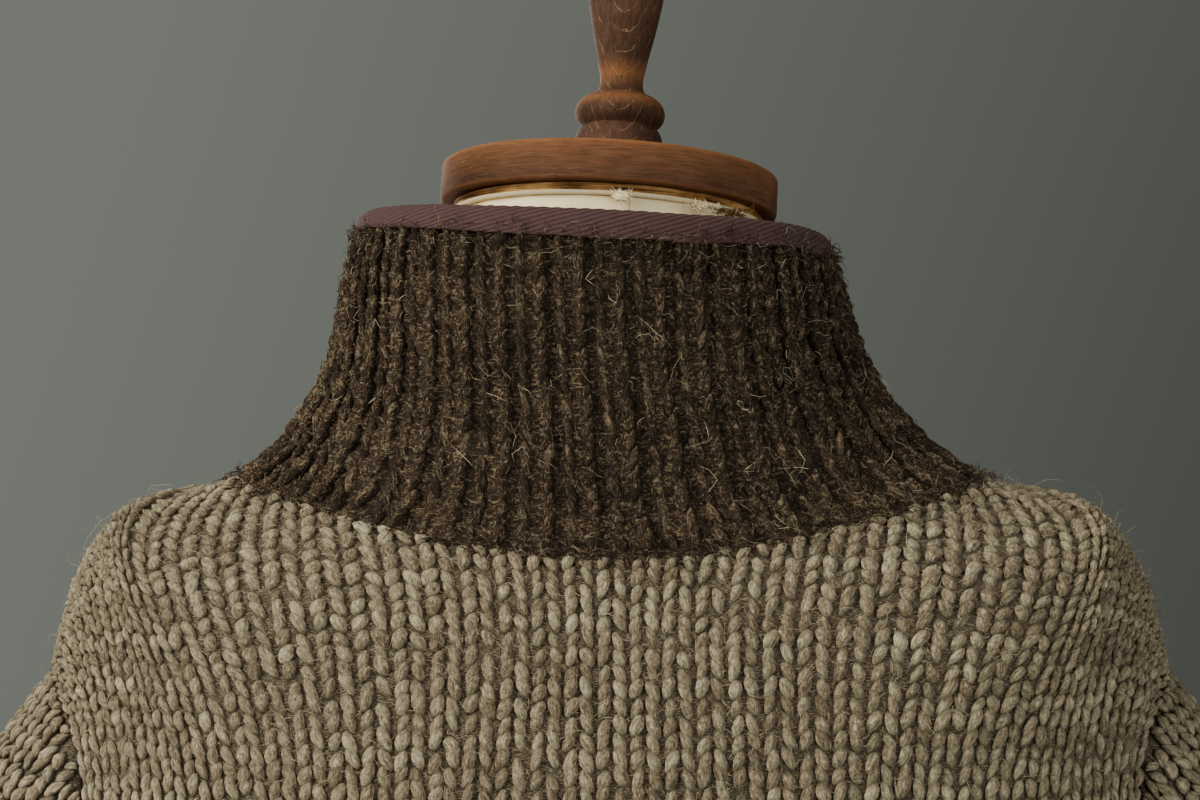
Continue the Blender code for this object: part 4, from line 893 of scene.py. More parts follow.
def stocking_stitches(cloth, low=0.0, high=1e9, skip=None):
    """The legs of plain knitting between two courses of a cloth."""
    first, last = math.ceil(low), int(min(high, cloth.courses[-1]))
    wales = np.arange(math.floor(cloth.wales[0]), math.ceil(cloth.wales[-1]))
    rows = np.arange(first, last)
    k, r = np.meshgrid(wales, rows)
    thick = slow_noise(len(rows), len(wales), 3.5)
    shade = slow_noise(len(rows), len(wales), 5.0)
    middle = k + 0.5
    keep = cloth.holds(middle, r + 0.6)
    if skip is not None:
        keep &= ~skip(middle, r)
    k, r, thick, shade = middle[keep], r[keep].astype(float), thick[keep], shade[keep]
    index, share, within = increases(cloth, k, r)
    k, r, thick, shade = k[index] + within, r[index], thick[index], shade[index]
    legs = []
    vary = lambda measure: rng.normal(0, LEG_SPREAD[measure], len(k))
    for hand in (-1, 1):
        girth = 1 + THICK_GIRTH * thick + vary("girth")
        foot = k + share * (hand * LEG_FOOT + vary("foot"))
        top = k + share * (hand * LEG_TOP + vary("top"))
        start = r + vary("start")
        reach = LEG_REACH + vary("reach")
        lift = vary("lift") + THICK_LIFT * thick
        tone = SHADE_TONE * shade + vary("tone")
        legs.append(np.stack([foot, start, top, start + reach, LEG_HALF * girth * share, lift, tone], axis=1))
    legs = np.concatenate(legs)
    # A leg at the end of its wale is cut short and raised a little, as the seam pulls it up.
    limit = np.interp(legs[:, 2], cloth.wales, cloth.tops) + rng.uniform(0.2, 0.7, len(legs))
    legs[:, 5] += SEAM_LIFT * (legs[:, 3] > limit)
    legs[:, 3] = np.minimum(legs[:, 3], np.maximum(limit, legs[:, 1] + SHORTEST))
    return legs


# %% Shells
def face_outwards(piece):
    """Merges a closed mesh's doubles and turns its faces outwards."""
    bpy.ops.object.select_all(action="DESELECT")
    piece.select_set(True)
    bpy.context.view_layer.objects.active = piece
    bpy.ops.object.mode_set(mode="EDIT")
    bpy.ops.mesh.select_all(action="SELECT")
    bpy.ops.mesh.remove_doubles(threshold=1e-6)
    bpy.ops.mesh.normals_make_consistent(inside=False)
    bpy.ops.mesh.delete_loose()
    bpy.ops.object.mode_set(mode="OBJECT")


def shell_piece(
    name, node, cloth, low, high, depth, thick, material, skip=None, steps=(0.5, 1.5), relief=None
):
    """A thin wall behind the legs, in place of a node: the fabric that closes the gaps between them, coloured
    as painted shade. steps is its grid in wales and courses, and relief gives its outer face its own heights."""
    rows = np.linspace(low, high, round((high - low) / steps[1]) + 1)
    columns = np.linspace(cloth.wales[0], cloth.wales[-1], round(2 * cloth.wales[-1] / steps[0]) + 1)
    v, w = np.meshgrid(rows, columns, indexing="ij")
    edge = np.interp(rows, cloth.courses, cloth.edges)[:, None]
    w = np.clip(w, -edge, edge)
    v = np.minimum(v, np.interp(w, cloth.wales, cloth.tops))
    heights = np.full(w.shape, -depth) if relief is None else relief(w, v)
    outer, inner = cloth.place(w, v, heights), cloth.place(w, v, -depth - thick)
    count = outer[..., 0].size
    index = np.arange(count).reshape(outer.shape[:2])
    cells = np.stack([index[:-1, :-1], index[:-1, 1:], index[1:, 1:], index[1:, :-1]], axis=-1).reshape(-1, 4)
    middle_w, middle_v = (grid.ravel()[cells].mean(1) for grid in (w, v))
    corners = outer.reshape(-1, 3)[cells]
    sides = np.linalg.norm(corners - np.roll(corners, -1, axis=1), axis=-1)
    narrow = np.minimum(*(sides[:, k::2].max(axis=1) for k in (0, 1)))
    diagonal = np.linalg.norm(corners[:, 0] - corners[:, 2], axis=1)
    keep = (diagonal > 1e-6) & (narrow > 1e-5)
    if skip is not None:
        keep &= ~skip(middle_w, middle_v)
    cells = cells[keep]
    sides = dict.fromkeys((int(a), int(b)) for cell in cells for a, b in zip(cell, np.roll(cell, -1)))
    rim = [(end, start, start + count, end + count) for start, end in sides if (end, start) not in sides]
    faces = np.concatenate([cells, cells[:, ::-1] + count, np.array(rim)])
    points = np.concatenate([outer.reshape(-1, 3), inner.reshape(-1, 3)])
    grid_mm = np.stack([w.ravel() * WALE * 1000, v.ravel() * COURSE * 1000, 0 * w.ravel()], axis=1)
    yarn = np.concatenate([grid_mm, grid_mm + [0, 0, 9]])
    # Painted shade: a flat wall's outer face gets the full gap colour, a relief's troughs more of it the
    # deeper they lie, and the inner face some of it.
    below = 1.0 if relief is None else np.clip((-0.0009 - heights.ravel()) / 0.0022, 0, 0.6)
    deep = np.concatenate([below + np.zeros(count), np.full(count, 0.35)])
    values = {"yarn": yarn, "tone": np.zeros(2 * count), "deep": deep}
    piece = mesh_piece(name, points, faces, material, values, node)
    face_outwards(piece)
    print(name, len(piece.data.polygons), "faces")
    return piece


# %% [markdown]
# ## Back and front
#
# Both are knitted from the hem up. Each has a shell, the fabric's ground, painted in the wool's dark gap
# colour as painted shade, and its legs in two meshes. The upper one is finer, because it is what one looks
# at.

# %% Lay the body's stitches
FINE_FROM = round((YOKE - HEM_RIB_TOP) / COURSE)  # this course and those above it get finer legs
ZIP_COURSE = (ZIP_BOTTOM - HEM_RIB_TOP) / COURSE
SLIT_WALES = 1.0  # the first wale on each side of the slit is the zip's seam allowance
SELVEDGE_FOOT, SELVEDGE_TOP, SELVEDGE_HALF = 0.65, 0.77, 0.16  # wales from the slit's middle; half width
SHELL_DEPTH, SHELL_WALL = 0.0016, 0.0014
PLAIN_FULL = 1.18  # widens the three-sided legs of the lower parts
sheets = []  # each sheet of cloth, the name that its flat size is under, and the pieces that lie on it


def at_slit(reach):
    """A test for places within this many wales of the slit's middle."""
    return lambda w, v: (np.abs(w) < reach) & (v > ZIP_COURSE)


def selvedge(cloth):
    """A column of legs along each side of the slit, where the knitting is turned in and sewn to the tape."""
    rows = np.arange(math.ceil(ZIP_COURSE), cloth.tops.min() - 0.6)
    legs = []
    for hand in (-1, 1):
        tone = rng.normal(0, 0.10, len(rows))
        columns = (hand * SELVEDGE_FOOT, rows, hand * SELVEDGE_TOP, rows + 1.5, SELVEDGE_HALF, 0.0, tone)
        legs.append(np.stack(np.broadcast_arrays(*columns), axis=1))
    return np.concatenate(legs)


def knit_panel(
    name, cloth, fine_from, section, full, skip=(None, None), added=None, ground=(SHELL_DEPTH, (0.5, 1.5))
):
    """A panel's plain lower legs, its upper legs, to which some may be added, and its ground."""
    lower = stocking_stitches(cloth, 0, fine_from, skip[0])
    lower = leg_piece(
        f"{name}_stitches_lower", cloth, lower, oat_wool, PLAIN_LEG, PLAIN_SECTION, full=PLAIN_FULL
    )
    upper = stocking_stitches(cloth, fine_from, 1e9, skip[0])
    if added:
        upper = np.concatenate([upper, added(cloth)])
    upper = leg_piece(f"{name}_stitches_upper", cloth, upper, oat_wool, section=section, full=full)
    depth, steps = ground
    last = cloth.courses[-1]
    shell = shell_piece(f"{name}_ground", name, cloth, 0, last, depth, SHELL_WALL, oat_wool, skip[1], steps)
    sheets.append((shell, name, [lower, upper]))


knit_panel("back", back_cloth, FINE_FROM, FINE_SECTION, 1.0)
slit = (at_slit(SLIT_WALES), at_slit(SLIT_WALES - 0.25))  # the ground reaches a little past the legs
knit_panel("front", front_cloth, FINE_FROM, PLAIN_SECTION, 1.14, slit, selvedge)

# %% Lay the sleeves' stitches
SLEEVE_FINE = 24  # courses below the armhole with finer legs
CAP_DEPTH = 0.0009  # the sleeve's cap is so curved that its flat faces must lie deeper, under the legs

for name, side in (("left", 1), ("right", -1)):
    cloth = sleeve_cloths[side]
    fine_from = int(cloth.courses[-1]) - SLEEVE_FINE
    ground = (SHELL_DEPTH + CAP_DEPTH, (0.5, 1.0))
    knit_panel(f"sleeve_{name}", cloth, fine_from, MIDDLE_SECTION, 1.06, ground=ground)

# %% [markdown]
# ## Ribbed collar
#
# One rib is a column of knit stitches that stands up and a column of purl stitches that sinks between two of
# them. The collar has thirty-seven such ribs, which spread where it widens towards its seam. Its wool is
# hairier than the body's and has half felted, so the legs are sunk in a lumpy skin that fills the troughs.

# %% Rib stitches
RIB_LEG = (
    # along, width, height
    (0.00, 0.00, -1.6),
    (0.20, 0.70, -1.0),
    (0.45, 1.00, -0.6),
    (0.74, 0.86, -0.8),
    (1.00, 0.00, -2.0),
)
RIB_FOOT, RIB_TOP, RIB_HALF = 0.150, 0.330, 0.180  # from the middle of a rib, in ribs
RIB_REACH, RIB_THICK_GIRTH = 1.95, 0.14  # courses from foot to top, and how the yarn's thickness shows
RIB_SPREAD = dict(girth=0.08, foot=0.015, top=0.018, start=0.12, reach=0.12, lift=0.0003, tone=0.09)


def rib_stitches(cloth, half, bare):
    """The legs of a ribbed piece's knit columns, one stitch to a course, none in the last bare courses."""
    ribs = np.arange(math.floor(cloth.wales[0]), math.ceil(cloth.wales[-1]) + 1)
    ribs = ribs + (0.5 if len(cloth.wales) % 2 else 0.0)
    rows = np.arange(0, int(cloth.courses[-1]))
    k, r = np.meshgrid(ribs, rows)
    thick, shade = slow_noise(len(rows), len(ribs), 3.0), slow_noise(len(rows), len(ribs), 4.0)
    keep = cloth.holds(k, r + 0.5, -0.1)
    k, r, thick, shade = k[keep], r[keep].astype(float), thick[keep], shade[keep]
    legs = []
    vary = lambda measure: rng.normal(0, RIB_SPREAD[measure], len(k))
    for hand in (-1, 1):
        foot, top = k + hand * RIB_FOOT + vary("foot"), k + hand * RIB_TOP + vary("top")
        start, reach = r + vary("start"), RIB_REACH + vary("reach")
        girth = half * (1 + RIB_THICK_GIRTH * thick + vary("girth"))
        lift, tone = vary("lift"), SHADE_TONE * shade + vary("tone")
        legs.append(np.stack([foot, start, top, start + reach, girth, lift, tone], axis=1))
    legs = np.concatenate(legs)
    legs[:, 3] = np.minimum(legs[:, 3], cloth.courses[-1] - bare)
    return legs[legs[:, 3] - legs[:, 1] > 0.6]


# %% Felted skin of the collar
FELT_RIB, FELT_COURSE = 0.125, 0.28  # the skin's grid, in ribs and courses
FELT_WALL, RIB_THICKNESS = 0.0030, 0.0019
FELT_MIDDLE, FELT_RELIEF = -0.00120, 0.00120  # its middle height, and how far its troughs sink below that


def lumps(rows, columns, spacing, size):
    """A smooth uneven field, with a new value every so many rows and columns."""
    knots = rng.normal(0, size, (rows // spacing + 3, columns // spacing + 3))
    y, x = np.arange(rows)[:, None] / spacing, np.arange(columns)[None] / spacing
    i, j = y.astype(int), x.astype(int)
    p, q = y - i, x - j
    low = knots[i, j] * (1 - q) + knots[i, j + 1] * q
    high = knots[i + 1, j] * (1 - q) + knots[i + 1, j + 1] * q
    return low * (1 - p) + high * p


def felt_relief(w, v):
    """Heights of the felted skin: ribs, a swell at each stitch, and lumps of fleece."""
    # A rib has two crests, one for each leg, with a shallow dip between them and a trough on either side.
    rib = 0.40 * np.cos(math.tau * (w - 0.5)) - 0.60 * np.cos(2 * math.tau * (w - 0.5))
    swell = np.cos(math.tau * (v - 0.35 * np.abs(w - np.round(w)) * 2))
    fleece = 0.0002 * swell + lumps(*w.shape, 2, 0.00022) + lumps(*w.shape, 7, 0.0002)
    return FELT_MIDDLE + FELT_RELIEF * rib + fleece


# %% Lay the collar
BINDING_COURSES = 1.45  # the tape covers this much of the collar's top
SEAM_LAP = 0.5  # courses of the collar that reach below its seam
stitches = rib_stitches(collar, RIB_HALF, BINDING_COURSES - 0.3)
knit = leg_piece("collar_ribs", collar, stitches, brown_wool, RIB_LEG, PLAIN_SECTION, RIB_THICKNESS)
felt = shell_piece(
    "collar_felt", "collar", collar, -SEAM_LAP, COLLAR_COURSES - 0.3, 0.0, FELT_WALL, brown_wool,
    steps=(FELT_RIB, FELT_COURSE), relief=felt_relief,
)
sheets.append((felt, "collar", [knit]))

# %% Ribbed hem and cuffs
RIB_REPEAT = 0.0125  # from rib to rib
EDGE_RIB_HALF = 0.16


def ribbed(ribs, courses, points, outward):
    """A cloth that is as wide at its top as at its foot."""
    tops, sides = np.full(len(ribs), courses[-1]), np.full(len(courses), ribs[-1])
    return Cloth(ribs, courses, points, outward, tops, sides)


def hem_cloth(side):
    """The ribbed lower edge of a panel, in ribs from its centre and courses from its foot."""
    half = round(half_round(HEM_RIB_TOP, side)[2][-1] / RIB_REPEAT)
    ribs = grid_lines(-half, half, GRID_WALE)
    last = round((HEM_RIB_TOP - HEM) / COURSE)
    courses = grid_lines(0, last, GRID_COURSE)
    heights = HEM + courses / last * (HEM_RIB_TOP - HEM)
    points = np.array([body_section(height, ribs / half, side) for height in heights])
    return ribbed(ribs, courses, points, points * [1, 1, 0])


def cuff_cloth(side):
    """A sleeve's ribbed end, in ribs from its top line and courses from its foot."""
    dense = np.linspace(-math.pi / 2, math.pi * 1.5, 361)
    half = round(run_along(sleeve_ring(SLEEVE_END, dense, side))[-1] / RIB_REPEAT / 2)
    ribs = grid_lines(-half, half, GRID_WALE)
    last = round((SLEEVE_END - CUFF_END) / COURSE)
    courses = grid_lines(0, last, GRID_COURSE)
    rows = []
    for course in courses:
        height = CUFF_END + course / last * (SLEEVE_END - CUFF_END)
        run = run_along(sleeve_ring(height, dense, side))
        turns = np.interp((1 - ribs / half) / 2 * run[-1], run, dense)
        rows.append(sleeve_ring(height, turns, side))
    points = np.array(rows)
    return ribbed(ribs, courses, points, points - points.mean(axis=1, keepdims=True))


edges = [(f"hem_rib_{name}", hem_cloth(side)) for name, side in (("back", 1), ("front", -1))]
edges += [(f"cuff_{name}", cuff_cloth(side)) for name, side in (("left", 1), ("right", -1))]
for name, cloth in edges:
    stitches = rib_stitches(cloth, EDGE_RIB_HALF, 0.05)
    knit = leg_piece(f"{name}_ribs", cloth, stitches, oat_wool, PLAIN_LEG, PLAIN_SECTION)
    shell = shell_piece(
        f"{name}_ground", name, cloth, 0, cloth.courses[-1], SHELL_DEPTH, SHELL_WALL, oat_wool
    )
    sheets.append((shell, name, [knit]))

# %% [markdown]
# ## Halo of fibres
#
# Hand-spun wool is hairy: fibre ends stand off the cloth, catch the light and soften the outline. Each hair
# is a very thin three-sided tube on a curved path. The collar's are thicker and curlier, a few of them pale.

# %% Hairs
def tubes(line, radii, sides, across):
    """Points round thin tubes on curved lines, with a radius for each of a line's points."""
    ahead = unit(np.gradient(line, axis=1))
    side = unit(np.cross(ahead, across))
    other = np.cross(ahead, side)
    angle = (np.arange(sides) * math.tau / sides)[None, None, :, None]
    thin = radii[None, :, None, None]
    return line[:, :, None] + thin * (side[:, :, None] * np.cos(angle) + other[:, :, None] * np.sin(angle))


def hair_piece(name, cloth, count, low, bare, length, radius, rise, curl, material, tone, rings):
    """Fibres that leave the cloth at random places, from course low on, none in the last bare courses."""
    wanted = int(count * 2.6)
    w = rng.uniform(cloth.wales[0], cloth.wales[-1], wanted)
    v = rng.uniform(low, cloth.courses[-1] - bare, wanted)
    inside = cloth.holds(w, v, -0.3)
    w, v = w[inside][:count, None], v[inside][:count, None]
    count = len(w)
    steps = np.linspace(0, 1, rings + 2)[None]
    long = length * rng.lognormal(0, 0.35, (count, 1))
    heading = rng.uniform(0, math.tau, (count, 1))
    bend = rng.normal(0, curl, (count, 1)) * steps + rng.normal(0, curl * 0.7, (count, 1)) * np.sin(steps * 5)
    stride = long / (rings + 1)
    start, turned = np.zeros((count, 1)), heading + bend[:, 1:]
    x, y = (np.concatenate([start, (turn(turned) * stride).cumsum(1)], axis=1) for turn in (np.cos, np.sin))
    unit_w = np.linalg.norm(cloth.place(w + 0.2, v, 0.0) - cloth.place(w - 0.2, v, 0.0), axis=-1) / 0.4
    unit_v = np.linalg.norm(cloth.place(w, v + 0.5, 0.0) - cloth.place(w, v - 0.5, 0.0), axis=-1)
    high = rise * rng.uniform(0.25, 1.0, (count, 1)) * np.sin(steps * rng.uniform(1.4, 2.9, (count, 1)))
    line = cloth.place(w + x / np.maximum(unit_w, 0.004), v + y / np.maximum(unit_v, 0.003), high - HAIR_ROOT)
    radii = radius * np.concatenate([[0], np.linspace(1, 0.55, rings), [0]])
    points = pinched(tubes(line, radii, 3, [0.31, 0.17, 0.93]))
    each = len(points) // count
    tones = np.repeat(rng.normal(*tone, count), each)
    yarn = np.repeat(rng.uniform(0, 500, (count, 3)), each, axis=0)
    values = {"yarn": yarn, "tone": tones, "deep": np.zeros(len(points))}
    piece = mesh_piece(name, points, tube_faces(count, rings, 3), material, values)
    print(name, count, "hairs,", triangle_count(piece), "triangles")
    return piece


# %% Grow the hairs
SOFT_FROM = FINE_FROM + 2
HAIR_ROOT = 0.0009  # how far below the legs' crests a hair starts
FUZZ = (0.0046, 0.00009, 0.0021, 1.3, oat_wool, (-0.05, 0.30), 2)
STRAY = (0.0120, 0.00006, 0.0080, 1.2, oat_wool, (0.25, 0.25), 3)
halos = (
    # grown on, name, cloth, count, lowest course, bare courses
    # (length, radius, rise, curl, wool, tone, rings)
    ("back", "back_fuzz", back_cloth, 7800, SOFT_FROM, 0.0, FUZZ),
    ("front", "front_fuzz", front_cloth, 1500, SOFT_FROM, 0.0, FUZZ),
    ("sleeve_left", "sleeve_left_fuzz", sleeve_cloths[1], 900, 40, 0.0, FUZZ),
    ("sleeve_right", "sleeve_right_fuzz", sleeve_cloths[-1], 900, 40, 0.0, FUZZ),
    ("back", "back_stray_hairs", back_cloth, 420, SOFT_FROM, 0.0, STRAY),
    ("front", "front_stray_hairs", front_cloth, 120, SOFT_FROM, 0.0, STRAY),
    ("collar", "collar_edge_fuzz", collar, 900, COLLAR_COURSES - 2.2, 1.15,
     (0.0062, 0.00018, 0.0056, 1.6, brown_wool, (0.05, 0.30), 2)),
    ("collar", "collar_foot_fuzz", collar, 1000, -SEAM_LAP, COLLAR_COURSES - 0.7,
     (0.0058, 0.00018, 0.0046, 1.6, brown_wool, (0.0, 0.30), 2)),
    ("collar", "collar_fuzz", collar, 2800, -SEAM_LAP, 1.1,
     (0.0050, 0.00024, 0.0034, 1.7, brown_wool, (0.0, 0.30), 2)),
    ("collar", "collar_stray_hairs", collar, 210, -0.3, 1.2,
     (0.0115, 0.00011, 0.0046, 1.9, oat_wool, (0.25, 0.25), 3)),
)
hairs_on = {}
for panel, name, cloth, count, low, bare, kind in halos:
    hairs_on.setdefault(panel, []).append(hair_piece(name, cloth, count, low, bare, *kind))

# %% [markdown]
# ## Bound edge
#
# A strip of brushed cotton twill is folded over the collar's raw top edge. Twill has slanting ridges, because
# each weft thread passes over two warps and one step further in every row. They are coarse enough to model,
# so the strip's outer face rises and falls with them, and only the single threads are bump.

# %% Twill material
RIDGE_PITCH, RIDGE_SLANT = 1.6, math.radians(19)  # mm between ridges, and their slope along the strip
THREAD = 0.42  # mm; a real thread is half as wide, which would not show


def band_scale(pitch):
    """The Wave texture's scale for bands this far apart."""
    return math.tau / 20 / pitch


def twill_material():
    """Brushed cotton twill, dyed plum and faded: dull, with a soft bloom where its ridges catch the light."""
    matt = {"Roughness": 0.92, "Specular IOR Level": 0.2}
    bloom = {"Sheen Weight": 0.2, "Sheen Roughness": 0.4, "Sheen Tint": linear("#7c6260")}
    material, tree, shader = new_material("brushed plum cotton twill", {**matt, **bloom})
    strip = add_node(tree, "Attribute", {"attribute_name": "strip"})
    turned = add_node(
        tree, "Mapping", {"vector_type": "TEXTURE"}, {"Vector": strip.outputs["Vector"]},
        {"Rotation": (0, 0, math.pi / 2 - RIDGE_SLANT)},
    )
    ridges = add_node(
        tree, "TexWave", {"wave_profile": "SIN"}, {"Vector": turned},
        {"Scale": band_scale(RIDGE_PITCH), "Distortion": 1.8, "Detail": 2.0, "Detail Scale": 0.8},
    )
    threads = add_node(
        tree, "TexWave", {"bands_direction": "Y"}, {"Vector": turned},
        {"Scale": band_scale(THREAD), "Distortion": 1.5, "Detail": 2.0, "Detail Scale": 1.0},
    )
    worn = add_node(
        tree, "TexNoise", links={"Vector": strip.outputs["Vector"]},
        values={"Scale": 0.35, "Detail": 5.0, "Roughness": 0.65},
    )
    weave = add_node(
        tree, "Math", {"operation": "MULTIPLY_ADD"}, {0: threads.outputs["Fac"], 2: ridges.outputs["Fac"]},
        {1: 0.35},
    )
    shade = add_node(tree, "Math", {"operation": "MULTIPLY_ADD"}, {0: worn, 2: weave}, {1: 0.9})
    stops = ((0.35, "#241715"), (1.0, "#4e3835"))
    ramp = add_node(tree, "ValToRGB", links={"Fac": shade}, stops=stops)
    bump = add_node(tree, "Bump", links={"Height": weave}, values={"Strength": 0.8, "Distance": 0.0003})
    connect(tree, shader, {"Base Color": ramp, "Normal": bump})
    return material


plum_twill = twill_material()
print("ridges", RIDGE_PITCH, "mm apart, threads", THREAD, "mm apart")

# %% Fold the strip over the edge
STRIP_SECTION = (
    # down the collar, out of it, in mm: from the outer foot over the edge to the inner foot
    (9.3, 1.30),
    (6.8, 1.40),
    (4.2, 1.18),
    (2.0, 0.75),
    (0.2, 0.05),
    (-1.0, -1.10),
    (-1.5, -2.70),
    (-1.1, -4.10),
    (0.2, -5.10),
    (2.2, -5.60),
    (5.0, -5.85),
    (7.8, -5.95),
)
STRIP_THICKNESS, RIDGE_HEIGHT = 1.1, 0.13  # mm
BURIED_PLACE, BURIED_WIDTH, BURIED_DEPTH = 0.080, 0.016, 3.4  # place and width in metres, depth in mm
STRIP_ENDS = 0.02  # ribs left free at each end of the collar
FINE_STEP, COARSE_STEP, SHOWN = 0.48, 1.6, 11.0  # mm between points: fine over the stretch that shows


def strip_section():
    """The folded strip's outer line in mm, its points close together where it shows, and its directions."""
    rows = np.array(STRIP_SECTION)
    run = run_along(rows)
    hidden = np.linspace(SHOWN, run[-1], round((run[-1] - SHOWN) / COARSE_STEP) + 1)
    at = np.concatenate([np.arange(0, SHOWN, FINE_STEP), hidden])
    line = spline(run, rows, at)
    along = unit(np.gradient(line, axis=0))
    return at, line, np.stack([along[:, 1], -along[:, 0]], axis=1)


def folded_strip(name, node, columns=420):
    """The strip, folded over the collar's top edge and open at the zip, with its ridges and puckers."""
    at, line, facing = strip_section()
    w = np.linspace(collar.wales[0] + STRIP_ENDS, collar.wales[-1] - STRIP_ENDS, columns)
    top = np.full(columns, float(COLLAR_COURSES))
    edge = collar.place(w, top, 0.0)
    up = unit(edge - collar.place(w, top - 1, 0.0))
    out = unit(collar.place(w, top, 0.001) - edge)
    run = run_along(edge) * 1000
    slant = at[None] * math.cos(RIDGE_SLANT) + run[:, None] * math.sin(RIDGE_SLANT)
    puff = lumps(columns, len(at), 9, 0.10) + lumps(columns, len(at), 3, 0.03)
    height = RIDGE_HEIGHT * np.sin(math.tau * slant / RIDGE_PITCH) + puff
    # Towards one side the collar's wool has crept up over the strip.
    crept = BURIED_DEPTH * np.exp(-(((edge[:, :1] - BURIED_PLACE) / BURIED_WIDTH) ** 2)) * (edge[:, 1:2] > 0)
    foot = (lumps(columns, 1, 12, 0.60) - crept) * np.clip(1 - at / 3, 0, 1)
    layers = []
    for rise in (height, puff - STRIP_THICKNESS):
        flat = line[None] + facing[None] * rise[..., None]
        down = (flat[..., 0] + foot)[..., None] / 1000
        layers.append(edge[:, None] - up[:, None] * down + out[:, None] * flat[..., 1:] / 1000)
    section = np.concatenate([layers[0], layers[1][:, ::-1]], axis=1)
    count = section.shape[1]
    index = np.arange(columns * count).reshape(columns, count)
    ahead = np.roll(index, -1, axis=1)
    faces = np.stack([index[:-1], ahead[:-1], ahead[1:], index[1:]], axis=-1).reshape(-1, 4)
    half = count // 2
    ends = [
        (index[row, k], index[row, k + 1], index[row, count - 2 - k], index[row, count - 1 - k])
        for row in (0, -1)
        for k in range(half - 1)
    ]
    across = np.concatenate([at, at[::-1]])
    strip = np.stack(np.broadcast_arrays(run[:, None], across[None], 0.0), axis=-1).reshape(-1, 3)
    faces = np.concatenate([faces, ends])
    piece = mesh_piece(name, section.reshape(-1, 3), faces, plum_twill, {"strip": strip}, node)
    face_outwards(piece)
    print(name, f"{run[-1]:.0f} mm long,", len(piece.data.polygons), "faces")
    return piece


binding = folded_strip("collar_twill_binding", "collar_binding")

# %% [markdown]
# ## Wood
#
# The cap, the finial, the pole and the base are beech, turned on a lathe, stained brown and waxed. Years of
# handling have scratched the wax, crackled it on the finial and rubbed the edges down to paler wood. Each
# piece is a profile that is spun about its axis. Its grain reads coordinates from before it was put in its
# place, so it follows the piece.

# %% Wood material
ARC_CURVE, ARC_PITCH = 0.15, 7.7  # per mm, and mm between the pale arcs


